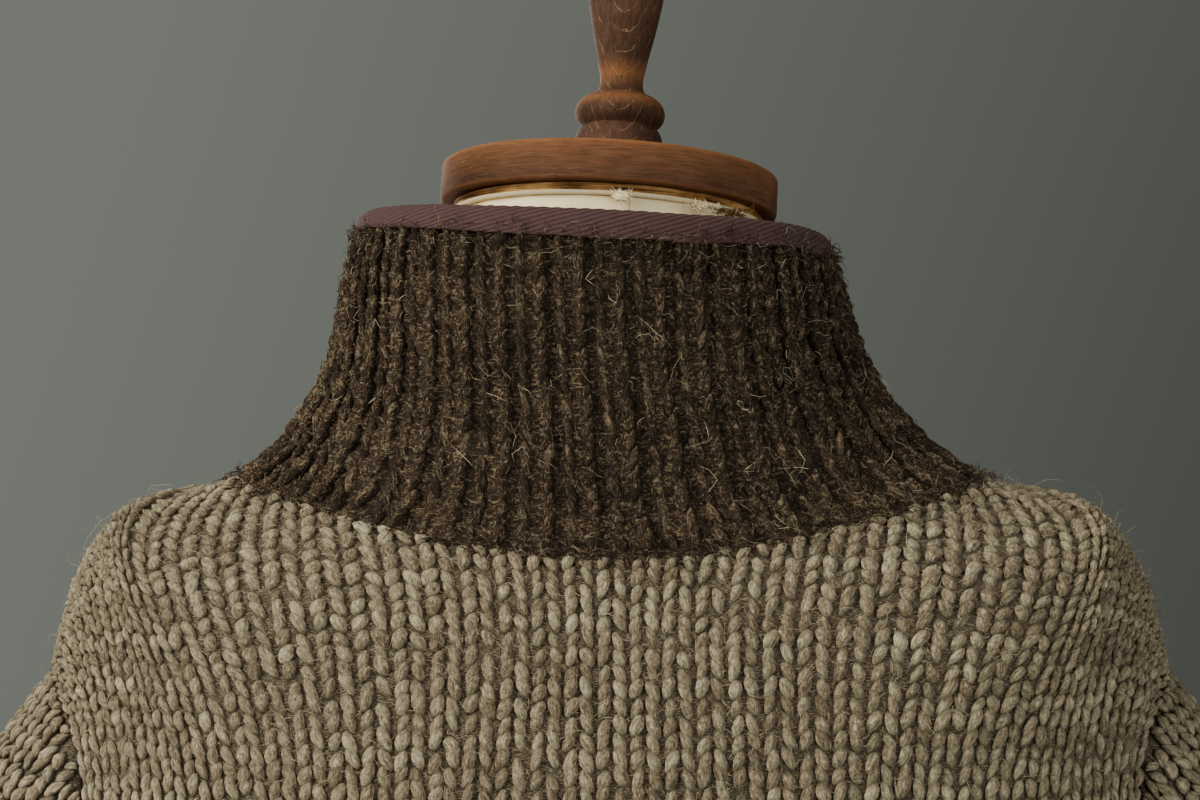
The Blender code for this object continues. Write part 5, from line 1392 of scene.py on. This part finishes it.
def wood_material(name, stops, grain, worn, scratch, crackle, roughness, painted_side_shade=0.0):
    """Stained wood. grain is the pattern's stretch for each axis, per mm, crackle is how strong the pale arcs
    are, and the last argument is how much painted shade darkens the piece towards one side."""
    material, tree, shader = new_material(name, {"Roughness": roughness, "Specular IOR Level": 0.07})
    place = add_node(tree, "Attribute", {"attribute_name": "turned"})
    stretched = add_node(tree, "Mapping", links={"Vector": place.outputs["Vector"]}, values={"Scale": grain})
    figure = add_node(
        tree, "TexNoise", links={"Vector": stretched},
        values={"Scale": 1.0, "Detail": 6.0, "Roughness": 0.68, "Distortion": 0.4},
    )
    blotch = add_node(
        tree, "TexNoise", links={"Vector": place.outputs["Vector"]},
        values={"Scale": 0.055, "Detail": 3.0, "Roughness": 0.6},
    )
    tone = add_node(tree, "Math", {"operation": "MULTIPLY_ADD"}, {0: blotch, 2: figure}, {1: 0.8})
    centred = add_node(tree, "Math", {"operation": "SUBTRACT"}, {0: tone}, {1: 0.40})
    axes = add_node(tree, "SeparateXYZ", links={"Vector": place.outputs["Vector"]})
    # Painted shade: darker towards the +X side of the piece, before it is moved into place.
    side = add_node(
        tree, "MapRange", links={"Value": axes.outputs["X"]},
        values={"From Min": 5.0, "From Max": 50.0, "To Min": 0.0, "To Max": -painted_side_shade},
    )
    tone_and_side_shade = add_node(tree, "Math", links={0: centred, 1: side})
    ramp = add_node(tree, "ValToRGB", links={"Fac": tone_and_side_shade}, stops=stops)
    # Scratches: a noise that is stretched across the piece, of which only the highest crests are kept.
    slanted = add_node(
        tree, "Mapping", links={"Vector": place.outputs["Vector"]},
        values={"Rotation": [math.radians(turn) for turn in (28, 40, 15)], "Scale": (0.10, 0.10, 2.4)},
    )
    lines = add_node(
        tree, "TexNoise", links={"Vector": slanted}, values={"Scale": 1.0, "Detail": 4.0, "Roughness": 0.75}
    )
    scratched = add_node(
        tree, "MapRange", links={"Value": lines},
        values={"From Min": 0.60, "From Max": 0.72, "To Min": 0.0, "To Max": scratch},
    )
    # The lathe cuts the year rings in nested arcs that open upwards: height less the square of the width.
    square = add_node(tree, "Math", {"operation": "POWER"}, {0: axes.outputs["X"]}, {1: 2.0})
    bowl = add_node(
        tree, "Math", {"operation": "MULTIPLY_ADD"}, {0: square, 2: axes.outputs["Z"]}, {1: -ARC_CURVE}
    )
    waver = add_node(
        tree, "TexNoise", links={"Vector": place.outputs["Vector"]}, values={"Scale": 0.35, "Detail": 3.0}
    )
    uneven = add_node(tree, "Math", {"operation": "MULTIPLY_ADD"}, {0: waver, 2: bowl}, {1: 4.0})
    apart = add_node(tree, "Math", {"operation": "PINGPONG"}, {0: uneven}, {1: ARC_PITCH / 2})
    edges = add_node(
        tree, "MapRange", links={"Value": apart},
        values={"From Min": 0.04, "From Max": 0.26, "To Min": 1.0, "To Max": 0.0},
    )
    patches = add_node(
        tree, "TexNoise", links={"Vector": place.outputs["Vector"]}, values={"Scale": 0.22, "Detail": 3.0}
    )
    cracked = add_node(
        tree, "MapRange", links={"Value": patches},
        values={"From Min": 0.44, "From Max": 0.62, "To Min": 0.0, "To Max": crackle},
    )
    cracks = add_node(tree, "Math", {"operation": "MULTIPLY"}, {0: edges, 1: cracked})
    marks = add_node(tree, "Math", {"operation": "MAXIMUM"}, {0: scratched, 1: cracks})
    marked = add_node(tree, "Mix", {"data_type": "RGBA"}, {0: marks, 6: ramp}, {7: linear("#a98562")})
    wear = add_node(tree, "Attribute", {"attribute_name": "wear"})
    rubbed = add_node(tree, "Math", {"operation": "MULTIPLY"}, {0: wear.outputs["Fac"], 1: figure})
    rubbed_more = add_node(tree, "Math", {"operation": "MULTIPLY", "use_clamp": True}, {0: rubbed}, {1: 1.7})
    finished = add_node(
        tree, "Mix", {"data_type": "RGBA"}, {0: rubbed_more, 6: marked.outputs[2]}, {7: linear(worn)}
    )
    relief = add_node(tree, "Math", {"operation": "MULTIPLY_ADD"}, {0: figure, 2: marks}, {1: 0.6})
    bump = add_node(
        tree, "Bump", {"invert": True}, {"Height": relief}, {"Strength": 0.35, "Distance": 0.0004}
    )
    connect(tree, shader, {"Base Color": finished.outputs[2], "Normal": bump})
    return material


BROWN_STAIN = ((0.00, "#20150e"), (0.35, "#38271b"), (0.62, "#51382a"), (1.00, "#704e3a"))
GOLDEN = ((0.00, "#1a1008"), (0.40, "#42290f"), (0.54, "#8a6234"), (0.78, "#c9a264"), (1.00, "#e6ca92"))
FLAT_GRAIN, UPRIGHT_GRAIN, STREAKS = (0.10, 0.10, 1.3), (1.2, 1.2, 0.09), (0.05, 0.05, 1.9)
RUBBED_BROWN, RUBBED_GOLD = "#8f5d36", "#f0dfb6"
# Waxed beech, its grain lying flat across the disc: a dull, warm brown with pale scratches, and painted shade
# that darkens it towards one side.
cap_wood = wood_material(
    "waxed brown beech, flat grain", BROWN_STAIN, FLAT_GRAIN, RUBBED_BROWN,
    scratch=0.46, crackle=0.0, roughness=0.75, painted_side_shade=0.24,
)
# The same wood standing on end, its year rings showing as pale arcs where the stain has worn off them.
finial_wood = wood_material(
    "waxed brown beech, upright grain", BROWN_STAIN, UPRIGHT_GRAIN, RUBBED_BROWN,
    scratch=0.22, crackle=0.75, roughness=0.70,
)
# The step under the cap, where the stain has gone: raw wood in golden and dark streaks.
step_wood = wood_material(
    "worn golden beech", GOLDEN, STREAKS, RUBBED_GOLD, scratch=0.5, crackle=0.0, roughness=0.7
)
print("woods:", cap_wood.name + ",", finial_wood.name + ",", step_wood.name)


# %% Turned profiles
def rounded(profile, radius, steps=5):
    """A profile whose corners are arcs of this radius, apart from its two ends on the axis."""
    rows = np.array(profile, float)
    out = [rows[0]]
    for before, corner, after in zip(rows, rows[1:], rows[2:]):
        reach = [min(radius, 0.45 * np.linalg.norm(other - corner)) for other in (before, after)]
        start, end = (corner + unit(other - corner) * size for other, size in zip((before, after), reach))
        for t in np.linspace(0, 1, steps):
            out.append(start * (1 - t) ** 2 + 2 * corner * t * (1 - t) + end * t * t)
    return np.array(out + [rows[-1]])


def flowing(profile, spacing):
    """A smooth line through a profile's points, apart from its two flat ends."""
    rows = np.array(profile, float)
    inner = rows[1:-1]
    run = run_along(inner)
    at = np.linspace(0, run[-1], round(run[-1] / spacing) + 1)
    return np.concatenate([rows[:1], spline(run, inner, at), rows[-1:]])


NECK_LEAN, LEAN_PIVOT = math.radians(3.0), -0.060  # the pivot's height counts from the cap's underside
NECK_SHIFT, FINIAL_SHIFT = 0.0038, -0.0025
TOUCH = 0.0003  # the gap between two pieces that are glued together


def on_neck(along, shift=0.0):
    """How points are moved onto the leaning neck, at this height from the cap's underside."""

    def move(points):
        x, y, z = points[:, 0] + shift, points[:, 1], points[:, 2] + along - LEAN_PIVOT
        across = x * math.cos(NECK_LEAN) - z * math.sin(NECK_LEAN) + NECK_SHIFT
        up = x * math.sin(NECK_LEAN) + z * math.cos(NECK_LEAN) + CAP_HEIGHT + LEAN_PIVOT
        return np.stack([across, y, up], axis=1)

    return move


def turned_piece(name, node, profile, move, material, steps, wear):
    """Spins a profile of radius and height, and moves it to its place. wear says how rubbed the wood is at a
    radius and height."""
    bpy.ops.object.select_all(action="DESELECT")
    bpy.ops.mesh.primitive_plane_add(size=0.001)
    piece = bpy.context.object
    piece.name = piece.data.name = name
    bpy.ops.object.mode_set(mode="EDIT")
    bpy.ops.mesh.select_mode(type="VERT")
    bpy.ops.mesh.select_all(action="SELECT")
    bpy.ops.mesh.merge(type="CENTER")
    bpy.ops.transform.translate(value=(profile[0][0], 0, profile[0][1]))
    for step in np.diff(profile, axis=0):
        bpy.ops.mesh.extrude_vertices_move(TRANSFORM_OT_translate={"value": (step[0], 0, step[1])})
    bpy.ops.mesh.select_all(action="SELECT")
    bpy.ops.mesh.spin(steps=steps, angle=math.tau, center=(0, 0, 0), axis=(0, 0, 1))
    bpy.ops.mesh.select_all(action="SELECT")
    bpy.ops.mesh.remove_doubles(threshold=1e-6)
    bpy.ops.mesh.normals_make_consistent(inside=False)
    bpy.ops.object.mode_set(mode="OBJECT")
    bpy.ops.object.shade_smooth_by_angle(angle=math.radians(35))
    spun = np.empty(len(piece.data.vertices) * 3, np.float32)
    piece.data.vertices.foreach_get("co", spun)
    spun = spun.reshape(-1, 3)
    rubbed = wear(np.hypot(spun[:, 0], spun[:, 1]), spun[:, 2]).astype(np.float32)
    new_layer = piece.data.attributes.new
    new_layer("turned", "FLOAT_VECTOR", "POINT").data.foreach_set("vector", (spun * 1000).ravel())
    new_layer("wear", "FLOAT", "POINT").data.foreach_set("value", rubbed)
    piece.data.vertices.foreach_set("co", move(spun).astype(np.float32).ravel())
    piece.data.update()
    settle(piece, material, node)
    print(name, len(piece.data.polygons), "faces")
    return piece


# %% Cap, step and finial
CAP_RADIUS, CAP_THICKNESS, CAP_EDGE = 0.0630, 0.0145, 0.0019
STEP_THICKNESS, STEP_RADIUS, STEP_GROOVE = 0.0040, 0.0585, 0.0006
FINIAL_PROFILE = (
    # radius, height
    (0.0000, 0.0000),
    (0.0170, 0.0000),
    (0.0171, 0.0040),
    (0.0168, 0.0100),
    (0.0161, 0.0142),
    (0.0150, 0.0164),
    (0.0137, 0.0177),
    (0.0150, 0.0186),
    (0.0164, 0.0203),
    (0.0170, 0.0226),
    (0.0166, 0.0250),
    (0.0152, 0.0272),
    (0.0128, 0.0290),
    (0.0102, 0.0302),
    (0.0087, 0.0318),
    (0.0081, 0.0345),
    (0.0090, 0.0410),
    (0.0116, 0.0530),
    (0.0140, 0.0660),
    (0.0150, 0.0760),
    (0.0140, 0.0850),
    (0.0104, 0.0915),
    (0.0078, 0.0950),
    (0.0090, 0.0990),
    (0.0116, 0.1050),
    (0.0112, 0.1130),
    (0.0072, 0.1190),
    (0.0000, 0.1210),
)


def near(value, place, reach):
    """1 at a place, falling to 0 at this distance from it."""
    return np.clip(1 - np.abs(value - place) / reach, 0, 1)


def cap_wear(radius, height):
    """Rubbed at the rim's two edges, more at the upper one."""
    outer = np.clip((radius - CAP_RADIUS + 0.006) / 0.004, 0, 1)
    return outer * (near(height, CAP_THICKNESS, 0.0034) + 0.6 * near(height, 0.0, 0.0022))


cap_profile = rounded(((0, 0), (CAP_RADIUS, 0), (CAP_RADIUS, CAP_THICKNESS), (0, CAP_THICKNESS)), CAP_EDGE)
turned_piece("neck_cap_turned", "neck_cap", cap_profile, on_neck(0.0), cap_wood, 128, cap_wear)
step_outline = (
    # radius, height
    (0, 0),
    (STEP_RADIUS - 0.0012, 0),
    (STEP_RADIUS, 0.0011),
    (STEP_RADIUS - STEP_GROOVE, 0.0018),
    (STEP_RADIUS, 0.0024),
    (STEP_RADIUS - STEP_GROOVE, 0.0033),
    (STEP_RADIUS - STEP_GROOVE, STEP_THICKNESS),
    (0, STEP_THICKNESS),
)


def step_wear(radius, height):
    """Rubbed down to the pale wood along its lower edge."""
    return 1.4 * np.clip((0.00135 - height) / 0.0005, 0, 1)


under_cap = on_neck(-STEP_THICKNESS - TOUCH)
step_profile = rounded(step_outline, 0.0004, 3)
turned_piece("neck_step_turned", "neck_ring", step_profile, under_cap, step_wood, 128, step_wear)


def finial_pale_bands(radius, height):
    """Paler round the upper side of its bead and round its waist."""
    return 0.6 * near(height, 0.0268, 0.004) * (radius > 0.010) + 0.6 * near(height, 0.0375, 0.006)


on_cap = on_neck(CAP_THICKNESS + TOUCH, FINIAL_SHIFT)
turned_piece("finial_turned", "finial", flowing(FINIAL_PROFILE, 0.0014), on_cap, finial_wood, 56, finial_pale_bands)

# %% Pole and base
BASE_PROFILE = (
    # radius, height
    (0.0000, 0.0000),
    (0.2060, 0.0000),
    (0.2100, 0.0060),
    (0.2100, 0.0200),
    (0.2040, 0.0280),
    (0.1900, 0.0310),
    (0.0800, 0.0420),
    (0.0560, 0.0520),
    (0.0480, 0.0640),
    (0.0380, 0.0700),
    (0.0000, 0.0700),
)
POLE_FOOT_PROFILE = (
    # radius, height above the base
    (0.0000, 0.0000),
    (0.0300, 0.0000),
    (0.0300, 0.0120),
    (0.0225, 0.0240),
    (0.0175, 0.0500),
)
POLE_HEAD_PROFILE = (
    # radius, depth below the form
    (0.0175, 0.0590),
    (0.0230, 0.0340),
    (0.0380, 0.0190),
    (0.0380, 0.0000),
    (0.0000, 0.0000),
)
pole_low, pole_high = (np.array(corner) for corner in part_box("stand_pole"))
pole_length = pole_high[2] - pole_low[2]
pole_profile = POLE_FOOT_PROFILE + tuple((radius, pole_length - depth) for radius, depth in POLE_HEAD_PROFILE)


def pole_wear(radius, height):
    """Rubbed where its foot's collar turns in."""
    return 0.7 * near(height, 0.012, 0.004)


def base_wear(radius, height):
    """Rubbed round its upper rim."""
    return 0.8 * near(radius, 0.208, 0.006) * near(height, 0.024, 0.008)


on_base, on_floor = (lambda points: points + [0, 0, pole_low[2]]), (lambda points: points)
pole_profile, base_profile = rounded(pole_profile, 0.004), rounded(BASE_PROFILE, 0.005)
turned_piece("stand_pole_turned", "stand_pole", pole_profile, on_base, finial_wood, 48, pole_wear)
turned_piece("stand_base_turned", "stand_base", base_profile, on_floor, cap_wood, 128, base_wear)

# %% [markdown]
# ## Linen of the form
#
# The form is covered with cream linen in a plain weave. What one sees of it is the neck, with the seam down
# the centre back and a frayed scrap where that seam ends under the step. The form's solid has few facets, so
# a copy of it is merged, turned back into quads and subdivided. Creases keep its two flat ends sharp.

# %% Linen material
LINEN_PITCH = 0.9  # mm between threads; real ones are closer, and would not show
SEAM_X = -0.0065


def linen_material():
    """Unbleached linen: matt and slightly uneven, with thread slubs."""
    finish = {"Roughness": 0.9, "Specular IOR Level": 0.2, "Sheen Weight": 0.15}
    material, tree, shader = new_material("cream linen, plain weave", finish)
    place = add_node(tree, "TexCoord")
    spots = add_node(
        tree, "Mapping", links={"Vector": place.outputs["Object"]}, values={"Scale": (1000, 1000, 1000)}
    )
    slubs = {"Scale": band_scale(LINEN_PITCH), "Distortion": 1.2, "Detail": 2.0, "Detail Scale": 1.3}
    upright, across = (
        add_node(tree, "TexWave", {"bands_direction": axis}, {"Vector": spots}, slubs) for axis in "ZX"
    )
    weave = add_node(
        tree, "Math", {"operation": "MULTIPLY"}, {0: upright.outputs["Fac"], 1: across.outputs["Fac"]}
    )
    stain = add_node(
        tree, "TexNoise", links={"Vector": spots}, values={"Scale": 0.05, "Detail": 5.0, "Roughness": 0.6}
    )
    shade = add_node(tree, "Math", {"operation": "MULTIPLY_ADD"}, {0: weave, 2: stain}, {1: 0.35})
    stops = ((0.30, "#e3cf9c"), (0.80, "#fbe9bd"))
    ramp = add_node(tree, "ValToRGB", links={"Fac": shade}, stops=stops)
    # The seam down the centre back: a thin dark line.
    axes = add_node(tree, "SeparateXYZ", links={"Vector": place.outputs["Object"]})
    off = add_node(tree, "Math", {"operation": "SUBTRACT"}, {0: axes.outputs["X"]}, {1: SEAM_X})
    distance = add_node(tree, "Math", {"operation": "ABSOLUTE"}, {0: off})
    line = add_node(
        tree, "MapRange", links={"Value": distance},
        values={"From Min": 0.0001, "From Max": 0.0005, "To Min": 0.55, "To Max": 0.0},
    )
    seamed = add_node(tree, "Mix", {"data_type": "RGBA"}, {0: line, 6: ramp}, {7: linear("#8d7c5f")})
    bump = add_node(tree, "Bump", links={"Height": weave}, values={"Strength": 0.5, "Distance": 0.0002})
    connect(tree, shader, {"Base Color": seamed.outputs[2], "Normal": bump})
    return material


linen = linen_material()


# %% Cover the form
def cad_copy(node, name):
    """A copy of a solid's mesh, its doubles merged and its quads restored, selected alone in edit mode."""
    bpy.ops.object.select_all(action="DESELECT")
    piece = bpy.data.objects.new(name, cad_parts[node].data.copy())
    bpy.context.scene.collection.objects.link(piece)
    piece.data.materials.clear()
    piece.select_set(True)
    bpy.context.view_layer.objects.active = piece
    bpy.ops.object.mode_set(mode="EDIT")
    bpy.ops.mesh.select_all(action="SELECT")
    bpy.ops.mesh.remove_doubles(threshold=1e-6)
    bpy.ops.mesh.tris_convert_to_quads(face_threshold=math.radians(60), shape_threshold=math.radians(60))
    return piece


form = cad_copy("form_torso", "form_linen_cover")
bpy.ops.object.mode_set(mode="OBJECT")
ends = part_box("form_torso")[0][2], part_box("form_torso")[1][2]
creases = form.data.attributes.new("crease_edge", "FLOAT", "EDGE")
for edge in form.data.edges:
    heights = [form.data.vertices[index].co.z for index in edge.vertices]
    at_end = max(heights) < ends[0] + 0.001 or min(heights) > ends[1] - 0.008
    creases.data[edge.index].value = float(at_end)
smoother = form.modifiers.new("smoother", "SUBSURF")
smoother.levels = smoother.render_levels = 1
bpy.ops.object.modifier_apply(modifier="smoother")
bpy.ops.object.shade_smooth_by_angle(angle=math.radians(50))
settle(form, linen, "form_torso")
print("form:", len(form.data.polygons), "faces")

# %% Frayed scrap at the seam's end
def frayed_threads(name, middle, spread, count, length, radius, material):
    """Short threads that stand up and out from one place."""
    root = np.array(middle) + rng.normal(0, 1, (count, 3)) * spread
    steps = np.linspace(0, 1, 5)[None, :, None]
    aim = [rng.normal(0, 0.8, count), rng.uniform(0.1, 0.5, count), rng.uniform(-0.5, 1.0, count)]
    curl = rng.normal(0, 0.5, (count, 1, 3))
    line = root[:, None] + length * steps * (unit(np.stack(aim, axis=1))[:, None] + curl * steps)
    points = pinched(tubes(line, radius * np.array([0, 1, 1, 0.8, 0]), 4, [0.2, 0.9, 0.3]))
    mesh_piece(name, points, tube_faces(count, 3, 4), material, {})
    print(name, count, "threads")


FRAY_PLACE, FRAY_SIZE = (-0.0038, 0.0588, 1.4948), (0.0029, 0.0011, 0.0019)
bpy.ops.object.select_all(action="DESELECT")
bpy.ops.mesh.primitive_ico_sphere_add(subdivisions=4, radius=1)
scrap = bpy.context.object
scrap.name = scrap.data.name = "neck_seam_scrap"
points = np.array([vertex.co[:] for vertex in scrap.data.vertices])
ruffle = 1 + 0.16 * np.sin(7 * points[:, 0] + 3 * points[:, 2]) * np.cos(9 * points[:, 2])
ruffle = ruffle + rng.normal(0, 0.035, len(points))
points = points * ruffle[:, None] * FRAY_SIZE + FRAY_PLACE
scrap.data.vertices.foreach_set("co", points.astype(np.float32).ravel())
scrap.data.update()
bpy.ops.object.shade_smooth()
settle(scrap, linen)
for row in (
    # name, middle, spread, count, length, radius, material
    ("neck_seam_fray", FRAY_PLACE, (0.0016, 0.0005, 0.0009), 110, 0.0016, 0.00013, linen),
    ("neck_edge_fray", (-0.0300, 0.0500, 1.4926), (0.0034, 0.0020, 0.0006), 90, 0.0018, 0.00014, linen),
    ("step_splinters", (-0.0420, 0.0400, 1.4920), (0.0036, 0.0034, 0.0008), 90, 0.0022, 0.00020, step_wood),
):
    frayed_threads(*row)

# %% [markdown]
# ## Zip
#
# A quarter zip closes the front: two woven tapes behind the knitted edges, brass teeth that interlock between
# them, a slider at the top of the closed zip, and a pull tab that swings in the slider's arch. One tooth is
# modelled and repeated along the line where the tapes meet, every second one turned to the other tape.

# %% Brass
def brass_material():
    """Cast brass, dulled by handling: brown in its hollows and brighter where it is rubbed."""
    material, tree, shader = new_material("aged cast brass", {"Metallic": 1.0})
    place = add_node(tree, "TexCoord")
    tarnish = add_node(
        tree, "TexNoise", links={"Vector": place.outputs["Object"]},
        values={"Scale": 650.0, "Detail": 5.0, "Roughness": 0.65},
    )
    stops = ((0.25, "#52422a"), (0.75, "#82704c"))
    ramp = add_node(tree, "ValToRGB", links={"Fac": tarnish}, stops=stops)
    rough = add_node(
        tree, "MapRange", links={"Value": tarnish},
        values={"From Min": 0.3, "From Max": 0.7, "To Min": 0.60, "To Max": 0.42},
    )
    bump = add_node(tree, "Bump", links={"Height": tarnish}, values={"Strength": 0.15, "Distance": 0.0001})
    connect(tree, shader, {"Base Color": ramp, "Roughness": rough, "Normal": bump})
    return material


aged_brass = brass_material()


# %% Tapes
def tape_material():
    """Woven polyester tape: a dull herringbone of brown threads."""
    finish = {"Roughness": 0.85, "Specular IOR Level": 0.25}
    material, tree, shader = new_material("woven brown zip tape", finish)
    place = add_node(tree, "TexCoord")
    slanted = add_node(
        tree, "Mapping", links={"Vector": place.outputs["Object"]},
        values={"Rotation": (0, math.radians(35), 0), "Scale": (1000, 1000, 1000)},
    )
    threads = add_node(
        tree, "TexWave", {"bands_direction": "Z"}, {"Vector": slanted},
        {"Scale": band_scale(0.7), "Distortion": 0.8, "Detail": 2.0, "Detail Scale": 1.5},
    )
    stops = ((0.0, "#241a14"), (1.0, "#4b3a2e"))
    ramp = add_node(tree, "ValToRGB", links={"Fac": threads.outputs["Fac"]}, stops=stops)
    bump = add_node(
        tree, "Bump", links={"Height": threads.outputs["Fac"]}, values={"Strength": 0.5, "Distance": 0.0002}
    )
    connect(tree, shader, {"Base Color": ramp, "Normal": bump})
    return material


zip_tape = tape_material()
tapes = [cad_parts[f"zip_tape_{side}"] for side in ("left", "right")]
for tape in tapes:
    tape.data.materials.clear()
    tape.data.materials.append(zip_tape)

# %% Slider, pull tab and stop
for node, name, body, width in (
    ("zip_slider", "zip_slider_cast", BODY, 0.00035),
    ("zip_pull", "zip_pull_cast", TAB, 0.00030),
    ("zip_stop", "zip_stop_cast", BODY, 0.00030),
):
    piece = cad_copy(node, name)
    bpy.ops.mesh.dissolve_limited(angle_limit=math.radians(1))
    bpy.ops.object.mode_set(mode="OBJECT")
    edges = piece.modifiers.new("soft edges", "BEVEL")
    edges.width, edges.segments, edges.limit_method, edges.angle_limit = width, 3, "ANGLE", math.radians(40)
    bpy.ops.object.modifier_apply(modifier="soft edges")
    bpy.ops.object.shade_smooth_by_angle(angle=math.radians(35))
    settle(piece, aged_brass, node, body)
    print(name, len(piece.data.polygons), "faces")


# %% Teeth
TOOTH_PITCH = 0.0021  # from a tooth to the next on the same tape
TOOTH_REACH, TOOTH_HEIGHT, TOOTH_THICKNESS = 0.0031, 0.0013, 0.0027  # across the tape, along it, out of it
TOOTH_EDGE, TOOTH_SHIFT = 0.0003, 0.0011  # the bevel, and from the zip's line to the tooth's middle
TO_SLIDER, TO_STOP = 0.0012, 0.0009  # from the first and last tooth's middle to the pieces at the ends
INNER_EDGE = 0.0025  # a tape's points nearer to the middle than this are on its inner edge
EACH_WAY = 0.003  # the line's direction is measured between points this far up and down it


def zip_line():
    """Points down the middle of the tapes' thickness, where they meet, with the distance of each."""
    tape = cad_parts["zip_tape_left"].data
    points = np.array([vertex.co[:] for vertex in tape.vertices])
    inner = np.unique(points[points[:, 0] < INNER_EDGE].round(6), axis=0)
    apart = np.linalg.norm(inner[:, None] - inner[None], axis=-1) + np.eye(len(inner))
    middles = np.unique(((inner + inner[apart.argmin(1)]) / 2).round(6), axis=0)
    middles = middles[middles[:, 2].argsort()[::-1]] * [0, 1, 1]
    return run_along(middles), middles


def tooth_points():
    """One tooth: a bevelled block with a rounded nose, modelled at the origin and pointing along -x."""
    bpy.ops.object.select_all(action="DESELECT")
    bpy.ops.mesh.primitive_cube_add(size=1)
    tooth = bpy.context.object
    bpy.ops.transform.resize(value=(TOOTH_REACH, TOOTH_HEIGHT, TOOTH_THICKNESS))
    bpy.ops.object.transform_apply(location=False, rotation=False, scale=True)
    bpy.ops.object.mode_set(mode="EDIT")
    bpy.ops.mesh.select_all(action="SELECT")
    bpy.ops.mesh.bevel(offset=TOOTH_EDGE, segments=1)
    bpy.ops.object.mode_set(mode="OBJECT")
    points = np.array([vertex.co[:] for vertex in tooth.data.vertices])
    faces = [list(face.vertices) + [-1] * (4 - len(face.vertices)) for face in tooth.data.polygons]
    bpy.data.objects.remove(tooth)
    return points, np.array(faces)


run, middles = zip_line()


def on_line(places):
    """Points of the zip's line at these distances along it."""
    return np.stack([np.interp(places, run, middles[:, axis]) for axis in range(3)], axis=1)


first = np.interp(-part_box("zip_slider")[0][2], -middles[:, 2], run) + TO_SLIDER
last = np.interp(-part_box("zip_stop")[1][2], -middles[:, 2], run) - TO_STOP
places = np.arange(first, last, TOOTH_PITCH / 2)
down = unit(on_line(places + EACH_WAY) - on_line(places - EACH_WAY))
out = np.stack([0 * places, down[:, 2], -down[:, 1]], axis=1)
hand = np.where(np.arange(len(places)) % 2, 1.0, -1.0)[:, None] * [1.0, 0, 0]
block, block_faces = tooth_points()
block = block + [TOOTH_SHIFT, 0, 0]
points = on_line(places)[:, None]
for axis, direction in enumerate((hand, down, out)):
    points = points + block[None, :, axis : axis + 1] * direction[:, None]
faces = block_faces[None] + np.arange(len(places))[:, None, None] * len(block)
faces = np.where(block_faces[None] < 0, -1, faces).reshape(-1, 4)
teeth = mesh_piece("zip_teeth", points.reshape(-1, 3), faces, aged_brass, {}, smooth=False)
face_outwards(teeth)
print("zip:", len(places), "teeth over", round((last - first) * 1000), "mm")

# %% [markdown]
# ## Flat sizes
#
# The flat size of every knitted piece, the binding and the tapes is listed here, with what each rests on.
# The loop below reads the entry for each sheet and gathers its hairs with its pieces, and does nothing more
# with them.

# %% Sheets
ON_FORM, ON_PANELS, ON_FELT = ["form_torso"], ["back_ground", "front_ground"], ["collar_felt"]
FLAT = {
    # piece: width, length and area where it isn't a rectangle, in metres, and what it rests on
    "back": (0.530, 0.590, 0.280, ON_FORM),
    "front": (0.530, 0.570, 0.266, ON_FORM),
    "sleeve_left": (0.324, 0.480, 0.113, ON_FORM),
    "sleeve_right": (0.324, 0.480, 0.113, ON_FORM),
    "collar": (0.750, 0.135, 0.0725, ON_PANELS),
    "hem_rib_back": (0.520, 0.060, None, ON_FORM),
    "hem_rib_front": (0.520, 0.060, None, ON_FORM),
    "cuff_left": (0.208, 0.064, None, ON_FORM),
    "cuff_right": (0.208, 0.064, None, ON_FORM),
    "collar_binding": (0.515, 0.0224, None, ON_FELT),
    "zip_tape_left": (0.0143, 0.265, None, ["collar_felt", "front_ground"]),
    "zip_tape_right": (0.0143, 0.265, None, ["collar_felt", "front_ground"]),
}
sheets.append((binding, "collar_binding", []))
sheets += [(tape, tape.name, []) for tape in tapes]
for sheet, name, pieces in sheets:
    width, length, area, rests = FLAT[name]
    pieces = pieces + hairs_on.get(name, [])

# %% Finish
totals = {item.name: triangle_count(item) for item in bpy.data.objects if item.type == "MESH"}
print("triangles:", sum(totals.values()), "largest:", max(totals, key=totals.get), max(totals.values()))
